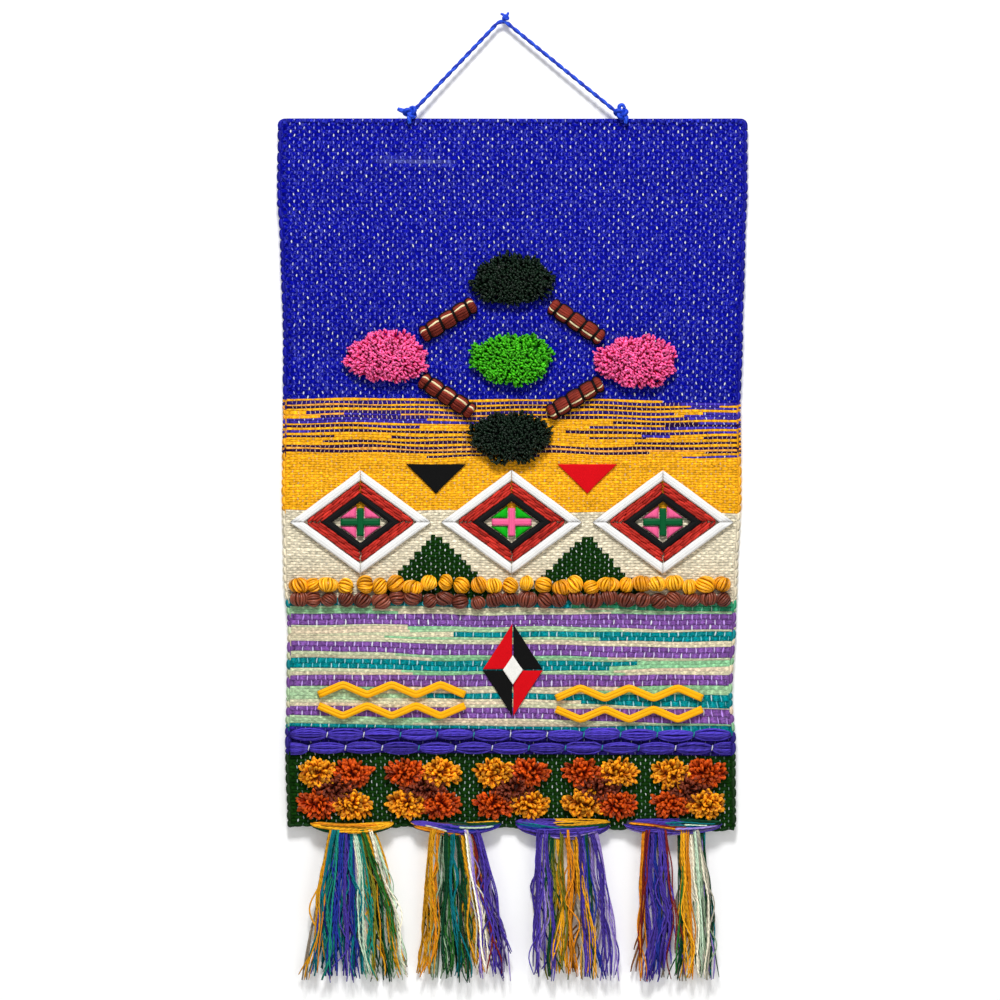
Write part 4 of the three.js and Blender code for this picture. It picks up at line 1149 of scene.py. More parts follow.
for i, (name, (across, down, dye_name)) in enumerate(ROSETTES.items()):
    rng = np.random.default_rng(40 + i)
    colour, low, crest, shine = PILE_DYES[dye_name]
    parts = loop_pile(
        (across, down), ROSETTE["half_width"], ROSETTE["half_height"], ROSETTE["rise"], ROSETTE["loops"], colour,
        rng, yarn_radius=0.92, loop_height=4.2, widths=(0.6, 1.25), spread=0.24, crest=crest, low=low, steps=6,
    )
    finish = bpy.data.materials.get(f"{dye_name}_loop_pile") or wool_yarn(
        f"{dye_name}_loop_pile", plies=2, turns=1.5, groove_shade=0.15, mottle=0.22, roughness=0.36, specular=shine,
    )
    make_piece(f"loop_rosette_{name}", merged(parts), finish, f"{dye_name}_pile", f"pile_rosette_{name}")

FLOWER_PILE = wool_yarn(
    "flower_loop_pile", plies=2, turns=1.4, groove_shade=0.2, mottle=0.2, roughness=0.38, specular=0.2,
)
for i in range(POSIES["count"]):
    rng = np.random.default_rng(60 + i)
    across = POSIES["across"] + POSIES["pitch"] * (i - (POSIES["count"] - 1) / 2)
    patches = [(across, POSIES["down"], POSY_HEART, "brown")]
    for right, below in ((-1, -1), (1, -1), (1, 1), (-1, 1)):
        dye_name = "yellow" if (right * below > 0) == (i % 2 == 0) else "orange"
        place = across + right * POSY_PETAL["aside"], POSIES["down"] + below * POSY_PETAL["above"]
        patches.append((*place, POSY_PETAL, dye_name))
    parts = []
    for across, down, patch, dye_name in patches:
        colour, low, crest = FLOWER_DYES[dye_name]
        parts += loop_pile(
            (across, down), patch["half_width"] * 1.08, patch["half_height"] * 1.16, FLOWER["rise"], FLOWER["loops"],
            colour, rng, yarn_radius=1.15, loop_height=6.6, spread=0.28, tilt=0.5, lying=0.7, low=low, crest=crest,
        )
    make_piece(f"flower_loops_{i + 1}", merged(parts), FLOWER_PILE, "flower_pile", f"flower_cluster_{i + 1}")


# ---------------- bound rolls between the rosettes

def bound_roll(name, start, end, seed):
    """Strands side by side round a padded roll, drawn in by a black thread at each binding: a strand lies at its
    angle over the crown, and the roll's width and rise shrink by a bump at each binding. A black yarn runs along each
    side as painted shade at the roll's edges."""
    rng = np.random.default_rng(seed)
    length = np.linalg.norm(end - start)
    forward = (end - start) / length
    aside = np.array([forward[1], -forward[0]])

    def beside_line(along, off, proud):
        """Points along the roll's line, off to its side."""
        line = start + forward * along[..., None] + aside * off[..., None]
        return on_cloth(line[..., 0], line[..., 1], proud)

    steps, strands, light_strand, bindings = 52, 8, 5, 4
    t = np.linspace(0, 1, steps)
    ties = (np.arange(bindings) + 0.5) / bindings
    pinch = 1 - 0.32 * np.exp(-(((t[:, None] - ties) * length / 2.0) ** 2)).sum(1)
    ends = np.clip(np.minimum(t, 1 - t) * length / 4 + 0.45, 0, 1) ** 0.6
    half, rise = (ROLL["half_width"] - 1.5) * pinch * ends, (ROLL["rise"] - 1.9) * pinch * ends
    angle = np.linspace(0.06, 0.94, strands)[:, None] * np.pi
    angle = angle + rng.normal(0, 0.05, (strands, 1)) * np.sin(np.pi * t * 4)
    paths = beside_line(t * length, np.cos(angle) * half, GAP + 1.4 + np.sin(angle) * (rise - 0.6))
    shades = yarn_shades("#7c2c20", strands, rng, 0.25)
    shades[light_strand] = linear("#efe0b0")
    radius = 1.3 * (0.75 + 0.25 * ends) * np.ones((strands, 1))
    radius[light_strand] *= 0.8
    rolls = [tubes(paths, radius, 7, colour=shades)]

    turn = np.linspace(-0.05, 1.05, 18) * np.pi
    along = (ties[:, None] * length + [-0.55, 0.55]).reshape(-1, 1) + 0.8 * np.cos(turn)
    lift = GAP + 0.9 + np.maximum(np.sin(turn), -0.05) * (ROLL["rise"] - 2.0)
    bands = beside_line(along, np.cos(turn) * (ROLL["half_width"] - 1.1), lift)
    black = linear("#120d0c")
    rolls.append(tubes(bands, 0.62, 6, plane=(forward[0], 0, -forward[1]), colour=black))
    # Black yarns along the sides, as painted shade at the roll's edges.
    edges = beside_line(t * length, np.array([[-1], [1]]) * (half + 1.5), GAP + 1.0)
    rolls.append(tubes(edges, 0.9, 6, colour=black))
    make_piece(name, merged(rolls), BROWN_YARN, "brown_yarn", name.replace("bound_", "brown_"))


BROWN_YARN = wool_yarn("brown_roll_yarn", plies=1, turns=0.6, groove_shade=0.2, mottle=0.18)
for i, (name, ends) in enumerate(ROLLS.items()):
    start, end = (np.array(ROSETTES[rosette][:2]) for rosette in ends)
    bound_roll(f"bound_roll_{name}", lerp(start, end, ROLL["start"]), lerp(start, end, ROLL["end"]), 80 + i)


# ---------------- padded strips, rings and lozenges

def section(sides=20, crown=3.2):
    """A closed section, (side, lift) pairs: side is the cosine and lift the sine to a low power over the top,
    and a nearly flat underside."""
    a = np.linspace(0, np.pi, sides)
    over = np.stack([np.cos(a), np.sin(a) ** (1 / crown)], -1)
    return np.concatenate([over, [(side, 0) for side in np.linspace(-0.9, 0.9, 5)]])


def station_frames(route, closed):
    """Left-hand vectors of a route on the cloth, longer at bends so that the strip keeps its width."""
    first, last = unit(route - np.roll(route, 1, 0)), unit(np.roll(route, -1, 0) - route)
    if not closed:
        first[0], last[-1] = last[0], first[-1]
    total = first + last
    scale = 1 / (1 + (first * last).sum(1))
    return np.stack([total[:, 1], -total[:, 0]], -1) * scale[:, None]


def padded_rings(route, half_width, rise, closed=False, lump=0.0, shape=None, left=None):
    """The section carried along a route of (across, down) points, its rise changed a little from place to
    place by "lump"."""
    shape = section() if shape is None else shape
    left = station_frames(route, closed) if left is None else left
    half_width, rise = (np.broadcast_to(v, len(route))[:, None] for v in (half_width, rise * (1 + lump)))
    place = route[:, None] + shape[:, :1] * (left * half_width)[:, None]
    return on_cloth(place[..., 0], place[..., 1], GAP + shape[:, 1] * rise)


def diamond(across, down, half_width, half_height):
    """Corners of a lozenge: its top, right, bottom and left."""
    return np.array([
        (across, down - half_height), (across + half_width, down),
        (across, down + half_height), (across - half_width, down),
    ])


def lozenge_corners(across, inset):
    """Corners of a lozenge inset by a distance square to its sides."""
    w, h = LOZENGE["half_width"], LOZENGE["half_height"]
    share = 1 - inset / (w * h / np.hypot(w, h))
    return diamond(across, LOZENGE["down"], w * share, h * share)


def split_route(corners, stretches, closed):
    """Points along the straight lines from corner to corner, so many to each line."""
    ends = np.roll(corners, -1, 0) if closed else corners[1:]
    t = (np.arange(stretches) / stretches)[:, None]
    route = lerp(corners[: len(ends), None], ends[:, None], t).reshape(-1, 2)
    return route if closed else np.concatenate([route, corners[-1:]])


def lozenge_strips(name, across):
    """White strips along the four sides, mitred at the corners and pulled back a little from one another."""
    stretches = 14
    route = split_route(lozenge_corners(across, WHITE_STRIP["width"] / 2), stretches, True)
    left = station_frames(route, True)
    for side, side_name in enumerate(LOZENGE_SIDES):
        rng = np.random.default_rng(500 + 10 * side + int(across))
        pick = (side * stretches + np.arange(stretches + 1)) % len(route)
        strip = route[pick]
        step = unit(strip[-1] - strip[0])
        strip[0], strip[-1] = strip[0] + GAP * step, strip[-1] - GAP * step
        t = np.linspace(0, 1, len(strip))
        lump = 0.05 * np.sin(9 * t + rng.uniform(0, 6)) + 0.03 * np.sin(23 * t + rng.uniform(0, 6))
        half = WHITE_STRIP["width"] / 2 * (1 - 0.03 * (1 + np.sin(11 * t + rng.uniform(0, 6))))
        batch = ring_batch(padded_rings(strip, half, WHITE_STRIP["rise"], lump=lump, left=left[pick]))
        node = f"lozenge_{name}_white_{side_name}"
        make_piece(f"padded_{name}_{side_name}", batch, WHITE_SATIN, "white_padding", node)


def soumak_band(name, across):
    """Red-brown yarn between the white strips and the black ring: four rows of short overlapping strands along
    each side, each strand dipping at its ends."""
    rng = np.random.default_rng(700 + int(across))
    rows, strand = 4, 10
    paths, shades = [], []
    t = np.linspace(0, 1, 8)
    for row in range(rows):
        corners = lozenge_corners(across, WHITE_STRIP["width"] + 0.6 + (row + 0.5) * (SOUMAK_WIDTH - 0.4) / rows)
        for a, b in zip(corners, np.roll(corners, -1, 0)):
            length = np.linalg.norm(b - a)
            count = max(int(round(length / strand)), 2)
            pitch = length / count
            out = unit(np.array([b[1] - a[1], a[0] - b[0]]))
            for n in range(count):
                start = n + (row % 2) * 0.5 - 0.25
                t0 = np.clip((start - 0.12) * pitch, 0.4, length - 3)
                t1 = np.clip((start + 1.12) * pitch, 3, length - 0.4)
                off = 0.75 * (t - 0.5) + rng.normal(0, 0.15)
                line = a + (b - a) / length * lerp(t0, t1, t)[:, None] + out * off[:, None]
                lift = GAP + 0.3 + 1.7 * np.sin(np.pi * t) ** 0.6 + rng.normal(0, 0.15)
                paths.append(on_cloth(line[:, 0], line[:, 1], lift))
                shades.append(yarn_shades("#bc2f25", 1, rng, 0.2)[0])
    taper = 0.6 + 0.4 * np.sin(np.pi * t) ** 0.5
    batch = tubes(paths, 1.28 * taper[None], 6, colour=shades)
    make_piece(f"soumak_band_{name}", batch, SOUMAK_YARN, "brown_yarn")


def pane(across, sideways, upwards):
    """A small padded three-cornered pane in one quarter of a cross: a fan of straight lines from its level side
    to the corner above or below it, raised as the product of the three distances to its sides, to a low power."""
    gap = CROSS["bar_width"] / 2 + 0.5
    reach = lozenge_corners(0, WHITE_STRIP["width"] + SOUMAK_WIDTH + BLACK_RING["width"] + 0.7)
    w, h = reach[1][0], LOZENGE["down"] - reach[0][1]
    long, tall = w * (1 - gap / h), h * (1 - gap / w)
    n = 14
    s, t = np.meshgrid(np.linspace(0, 1, n), np.linspace(0, 1, n), indexing="ij")
    x, y = gap + (long - gap) * s * (1 - t), gap + (tall - gap) * t
    a, b, c = s * (1 - t), t, 1 - s * (1 - t) - t
    lift = 0.2 + 1.9 * np.clip(27 * a * b * c, 0, 1) ** 0.3
    points = on_cloth(across + sideways * x, LOZENGE["down"] + upwards * y, GAP + np.stack([lift, 0 * lift]))
    index = np.arange(n * n).reshape(n, n)
    quads = grid_faces(n, n)
    rim = np.concatenate([index[0, :], index[1:, -1], index[-1, -2::-1], index[-2:0:-1, 0]])
    nxt = np.roll(rim, -1)
    walls = np.stack([rim + n * n, nxt + n * n, nxt, rim], -1)
    faces = outward(points.reshape(-1, 3), [np.concatenate([quads, quads[:, ::-1] + n * n, walls])])
    corners = faces[0].ravel()
    place = np.stack([x, y], -1).reshape(-1, 2)[corners % (n * n)]
    bake = place / 40 + np.where(corners >= n * n, 0.5, 0.0)[:, None]
    return Batch(points, faces, tints(len(corners), 1), place[:, ::-1] / [10, 24], bake, 100)


def cross_batch(across):
    """A padded cross: a long level bar and a short upright one, each the strip section with rounded ends."""
    bars = []
    for upright, reach in ((False, CROSS["half_length"]), (True, CROSS["half_height"])):
        t = np.linspace(-1, 1, 26)
        line = np.stack([t * reach, np.zeros(26)], -1)
        route = (line[:, ::-1] if upright else line) + [across, LOZENGE["down"]]
        ends = np.clip((1 - np.abs(t)) * reach / 1.6 + 0.55, 0, 1) ** 0.5
        middle = 1 - (0.0 if upright else 0.22) * np.exp(-((t * reach / 3) ** 2))
        rise = (CROSS["rise"] - 0.3) * ends * middle + (0.3 if upright else 0.0)
        bars.append(ring_batch(padded_rings(route, CROSS["bar_width"] / 2 * (0.9 + 0.1 * ends), rise)))
    return merged(bars)


WHITE_SATIN = satin_padding("white_satin_padding", "#ececea", 6.0, 0.8)
BLACK_SATIN = satin_padding("black_satin_padding", "#0d0c0e", 6.0, 0.6)
SATINS = {
    "green": (satin_padding("dark_green_satin_padding", "#00572c"), "green_padding"),
    "pink": (satin_padding("pink_satin_padding", "#ef5f93"), "pink_padding"),
    "bright_green": (satin_padding("bright_green_satin_padding", "#08ac12"), "green_padding"),
}
YELLOW_SATIN = satin_padding("yellow_satin_padding", "#ffb405", 5.0, 0.55)
SOUMAK_YARN = wool_yarn("red_brown_soumak_yarn", plies=1, turns=0.8, groove_shade=0.25, mottle=0.15)

for name, (place, cross_dye, pane_dye) in LOZENGES.items():
    middle = place * LOZENGE["pitch"]
    lozenge_strips(name, middle)
    soumak_band(name, middle)
    inset = WHITE_STRIP["width"] + SOUMAK_WIDTH + BLACK_RING["width"] / 2
    ring_route = split_route(lozenge_corners(middle, inset), 12, True)
    ring = ring_batch(padded_rings(ring_route, BLACK_RING["width"] / 2 * 0.98, BLACK_RING["rise"], True), True)
    piece = make_piece(f"padded_{name}_black_ring", ring, BLACK_SATIN, "black_padding", f"lozenge_{name}_black_ring")
    piece = make_piece(f"padded_{name}_cross", cross_batch(middle), *SATINS[cross_dye], f"lozenge_{name}_cross")
    quarters = [pane(middle, sideways, upwards) for sideways in (-1, 1) for upwards in (-1, 1)]
    make_piece(f"satin_panes_{name}", merged(quarters), *SATINS[pane_dye])


# ---------------- felt

def felt_piece(node, corners, dye_name, proud=GAP):
    """A flat cut of felt: rings of its outline shrink towards its middle, with softly rounded edges and a
    faint swell on its front, and its back is flat."""
    name = "cut_" + node.removesuffix("_lozenge")
    corners = np.array(corners, float)
    rng = np.random.default_rng(len(name) + int(abs(corners.sum())))
    outline = split_route(corners, 16, True)
    middle = corners.mean(0)
    wobble = rng.normal(0, 0.12, len(outline))
    wobble = (wobble + np.roll(wobble, 1) + np.roll(wobble, -1)) / 3
    outline = outline + unit(middle - outline) * (0.35 + wobble)[:, None]
    toward = middle - outline
    reach = np.linalg.norm(toward, axis=1, keepdims=True)
    rings = [outline + toward * np.minimum(inset * 1.3 / reach, 0.6) for inset in (0.0, 0.12, 0.35, 0.8, 2.5)]
    rings += [lerp(rings[4], middle, share) for share in (0.4, 0.65, 0.85, 0.999)]
    rings = np.array([rings[8], rings[0], *rings])
    lift = np.array([0, 0, 0.35, 0.7, 0.92, 1, 1, 1, 1, 1, 1])[:, None]
    swell = (np.arange(len(rings)) > 6)[:, None] * 0.06 * np.sin(rings[..., 0] / 5 + rings[..., 1] / 7)
    points = on_cloth(rings[..., 0], rings[..., 1], proud + FELT_THICKNESS * (lift + swell)).reshape(-1, 3)
    size = len(outline)
    faces = outward(points, [grid_faces(len(rings), size, True)])
    for cap, facing in ((np.arange(size), 1.0), (len(points) - size + np.arange(size), -1.0)):
        normal = np.cross(points[cap], np.roll(points[cap], -1, 0)).sum(0)[1]
        faces.append((cap if np.sign(normal) == facing else cap[::-1])[None])
    corner = np.concatenate([f.ravel() for f in faces])
    rings = rings.reshape(-1, 2)
    low, high = rings.min(0), rings.max(0)
    bake = (rings[corner] - low) / (high - low) * [0.49, 0.98]
    bake[:, 0] += np.where(corner < 2 * size, 0.5, 0.0)
    batch = Batch(points, faces, tints(len(corner), 1), rings[corner] / 10, bake)
    piece = make_piece(name, batch, FELTS[dye_name], f"{dye_name}_felt", node)


FELTS = {
    "red": felted_wool("red_felt_cloth", "#d30e18"),
    "black": felted_wool("black_felt_cloth", "#131313"),
    "white": felted_wool("white_felt_cloth", "#f0eee8"),
}

f = FELT_TRIANGLE
for hand, side, dye_name in (("left", -1, "black"), ("right", 1, "red")):
    x, w, h = side * f["across"], f["half_width"], f["height"]
    corners = [(x - w, f["down"]), (x + w, f["down"]), (x, f["down"] + h)]
    felt_piece(f"felt_triangle_{hand}", corners, dye_name)
f = FELT_DIAMOND
for level, tall in (("upper", -1), ("lower", 1)):
    for hand, wide in (("left", -1), ("right", 1)):
        x, y = f["across"] + wide * f["clear"], f["down"] + tall * f["clear"]
        corners = [(x, y), (f["across"] + wide * f["half_width"], y), (x, f["down"] + tall * f["half_height"])]
        w, h = (f["half_width"] - f["clear"]) * MM, (f["half_height"] - f["clear"]) * MM
        felt_piece(f"felt_quarter_{level}_{hand}", corners, "red" if tall * wide > 0 else "black")
w, h = FELT_CENTRE["half_width"], FELT_CENTRE["half_height"]
felt_piece(
    "felt_centre_lozenge", diamond(f["across"], f["down"], w, h), "white",
    2 * GAP + FELT_THICKNESS,
)


# ---------------- rows of wound yarn knots

def knot_row(name, colours, seed, half_height, rise):
    """Balls of yarn in a row. Each is a hank gathered at both ends of an axis that lies almost in the cloth: a
    strand's place along the axis is minus the cosine of its way from end to end, and its distance from the axis is
    the sine. The strands stand side by side round the front half, each a little thinner towards its ends and painted
    darker there as shade, and the whole ball is twisted a little. The ball is drawn out to its own half width, half
    height and rise."""
    rng = np.random.default_rng(seed)
    count, strands, steps, yarn_radius = KNOT_ROW["count"], 8, 13, 1.2
    pitch = (KNOT_ROW["right"] - KNOT_ROW["left"]) / count
    across = KNOT_ROW["left"] + pitch * (np.arange(count) + 0.5) + rng.normal(0, 0.9, count)
    middle = KNOT_ROWS[name] + rng.normal(0, 1.0, count)
    half = np.stack([
        pitch / 2 * rng.uniform(0.94, 1.4, count), half_height * rng.uniform(0.94, 1.12, count),
        rise * rng.uniform(0.85, 1.0, count),
    ], -1) - yarn_radius
    swing, lean = rng.uniform(0.2, 2.9, count), rng.uniform(-0.2, 0.3, count)
    axis = np.stack([np.cos(swing) * np.cos(lean), np.sin(swing) * np.cos(lean), np.sin(lean)], -1)[:, None]
    level = np.stack([-np.sin(swing), np.cos(swing), np.zeros(count)], -1)[:, None]
    rising = np.stack([-np.cos(swing) * np.sin(lean), -np.sin(swing) * np.sin(lean), np.cos(lean)], -1)[:, None]
    side = np.radians(np.linspace(-80, 80, strands))[:, None] + rng.normal(0, 0.06, (count, strands, 1))
    turn = np.linspace(0.16, np.pi - 0.16, steps)
    around = np.clip(side + rng.uniform(-0.6, 0.6, (count, 1, 1)) * np.cos(turn), -1.5, 1.5)[..., None]
    ball = np.sin(turn)[:, None] * (np.sin(around) * level[:, None] + np.cos(around) * rising[:, None])
    ball = ball - np.cos(turn)[:, None] * axis[:, None]
    ball = ball + rng.normal(0, 0.05, (count, strands, 1, 3)) * np.sin(1.5 * turn)[:, None]
    ball = ball * rng.uniform(0.93, 1.04, (count, strands, 1, 1))
    x, d, lift = half.T[..., None, None] * np.moveaxis(ball, -1, 0)
    lift = GAP + 0.8 * yarn_radius + np.maximum(lift, 0)
    paths = on_cloth(across[:, None, None] + x, middle[:, None, None] + d, lift).reshape(-1, steps, 3)
    plane = (np.cos(side) * level - np.sin(side) * rising)[..., [0, 2, 1]] * [1, -1, -1]
    lots = [colours[k] for k in rng.choice(len(colours), count)]
    shades = np.concatenate([yarn_shades(colour, strands, rng, 0.16) for colour in lots])
    thick = yarn_radius * np.clip(half[:, :2].mean(1) / 6.4, 0.95, 1.35)
    thick = np.repeat(thick, strands)[:, None] * (0.5 + 0.5 * np.sin(turn))
    # Painted shade towards the strands' ends.
    painted_end_shade = (0.6 + 0.5 * np.sin(turn))[None]
    parts = [tubes(paths, thick, 7, plane=plane.reshape(-1, 3), colour=shades, turn=np.pi / 2, shade=painted_end_shade)]
    # Under the strands, a dome in each ball's dye, painted darker as shade in the gaps.
    levels = np.array([(0.001, 0.0), (0.92, 0.0), (0.86, 0.45), (0.64, 0.8), (0.32, 0.96), (0.001, 1.0)])
    for place, size, lot in zip(np.stack([across, middle], -1), half * [1, 1, 0.9], lots):
        parts.append(dome(place, levels[:, [0, 0, 1]] * size, 14, linear(lot) * 0.8))
    finish = wool_yarn(
        f"{name}_wound_yarn", plies=2, turns=0.0, groove_shade=0.46, mottle=0.2, roughness=0.36, specular=0.42,
    )
    slot = name.replace("knot_row", "yarn").replace("brown", "dark_brown")
    make_piece(f"wound_{name}", merged(parts), finish, slot, name)


knot_row("mustard_knot_row", ["#f9ab0c", "#ffb81a", "#ee9c08"], 201, 7.4, 10.0)
knot_row("brown_knot_row", ["#7c3c2a", "#87432e", "#6c3120"], 202, 7.0, 8.2)


# ---------------- yellow chains

def zigzag_chain(name, ends, up_down):
    """A padded strip along a zigzag, with the peaks a little rounded and a groove along its crown."""
    start, end, down = ends
    z = ZIGZAG
    reach = z["half_width"] * np.hypot(1, 4 * z["peaks"] * z["depth"] / (end - start))
    i = np.arange(2 * z["peaks"] + 1)
    away = reach + z["clear"] + z["depth"] * (i % 2)
    route = split_route(np.stack([lerp(start, end, i / i[-1]), down + up_down * away], -1), 10, False)
    route[1:-1] = (route[:-2] + 2 * route[1:-1] + route[2:]) / 4
    t = np.linspace(0, 1, len(route))
    ends_in = np.clip(np.minimum(t, 1 - t) * 60 + 0.5, 0, 1) ** 0.5
    shape = section(24)
    shape[:, 1] *= 1 - 0.16 * np.exp(-((shape[:, 0] / 0.16) ** 2)) * (shape[:, 1] > 0.3)
    half = z["half_width"] * (0.93 + 0.07 * ends_in)
    rings = padded_rings(route, half, z["rise"] * ends_in, lump=0.05 * np.sin(40 * t + down), shape=shape)
    piece = make_piece(f"padded_{name}", ring_batch(rings), YELLOW_SATIN, "yellow_padding", f"yellow_{name}")


for hand, ends in CHAINS.items():
    for level, up_down in (("upper", -1), ("lower", 1)):
        zigzag_chain(f"chain_{hand}_{level}", ends, up_down)


# ---------------- plaits

def plait(name, down, shift, seed):
    """A row of long lens-shaped stitches: each strand's distance from the row's line is its place in the bundle times
    the sine over one stitch to a low power, so the strands part and meet again; a light stitch holds them where they
    meet. The strands are painted darker where they meet, as shade, and the padding under them is a darker violet, as
    painted shade in the gaps."""
    rng = np.random.default_rng(seed)
    left, right, segments, half_height = PLAIT["left"], PLAIT["right"], PLAIT["segments"], PLAIT["half_height"]
    strands = 8
    share = np.linspace(0, 1, segments * 14 + 1)
    stitch = np.floor(share * segments + shift).astype(int)
    each = (strands, segments + 2)
    swell = np.abs(np.sin(np.pi * (share * segments + shift))) ** 0.6
    across = lerp(left, right, share)
    swap = rng.normal(0, 0.17, each)[:, stitch]
    place = np.clip(np.linspace(-1, 1, strands)[:, None] * (0.2 + 0.8 * swell) + swap * swell, -1, 1)
    line = down + rng.normal(0, 0.35, segments + 2)[stitch] * swell
    crown = np.sqrt(np.clip(1 - (place * 0.92) ** 2, 0, 1))
    layer = rng.uniform(0.55, 1.0, each)[:, stitch]
    lift = GAP + 0.8 + (PLAIT["rise"] - 1.7) * crown * (0.25 + 0.75 * swell * layer)
    paths = on_cloth(across, line + place * (half_height - 0.8), lift)
    shades = yarn_shades("#4535ac", strands, rng, 0.2)
    # Painted shade where the strands meet, lighter where they swell.
    meeting_shade = 0.62 + 0.5 * swell * rng.uniform(0.8, 1.25, each)[:, stitch]
    parts = [tubes(paths, 0.92, 6, colour=shades, shade=meeting_shade)]
    half, high = (half_height - 1.4) * (0.25 + 0.75 * swell), 2.6 * (0.3 + 0.7 * swell)
    padding = padded_rings(np.stack([across, line], -1), half, high, shape=section(10))
    # The padding is a darker violet that shows between the strands as painted shade.
    parts.append(ring_batch(padding, colour=linear("#3a2b98")))
    meets = (np.arange(segments + 1) - shift) / segments
    meets = meets[(meets > 0.01) & (meets < 0.99)][:, None]
    a = np.linspace(0.02, 0.98, 9) * np.pi
    tie_down, tie_lift = down - np.cos(a) * half_height * 0.38, GAP + 1.2 + np.sin(a) * 2.6
    ties = on_cloth(lerp(left, right, meets) + 0.5 * np.cos(a), tie_down, tie_lift)
    light = [linear("#dfe4ea" if rng.random() < 0.55 else "#2f9aa2") for _ in meets]
    parts.append(tubes(ties, 0.55, 5, plane=RIGHT, colour=light))
    make_piece(f"stranded_{name}", merged(parts), PLAIT_YARN, "violet_yarn", name)


PLAIT_YARN = wool_yarn(
    "violet_plait_yarn", plies=2, turns=1.3, groove_shade=0.35, mottle=0.16, roughness=0.5, specular=0.15,
)
for i, (name, (down, shift)) in enumerate(PLAITS.items()):
    plait(name, down, shift, 220 + i)


# ---------------- tassels

# Yarns of the tassels. One beige is not a yarn's own colour but painted shade, for the dim gaps between strands.
TASSEL_DYES = {
    "gold": "#e8a51e", "gold_orange": "#e08a1a", "teal": "#0a6f78", "pine": "#0d4227", "blue": "#26379c",
    "violet": "#4f3ca4", "lilac": "#9c86d0", "sage": "#90a88a", "mint": "#c3dcc0", "cream": "#efe8cf",
    "olive": "#7c7a24", "dark_red": "#7a2220", "teal_green": "#1d8a78", "leaf": "#2c6a2a", "dust": "#a89c8a",
    "brown": "#8a5a30",
}

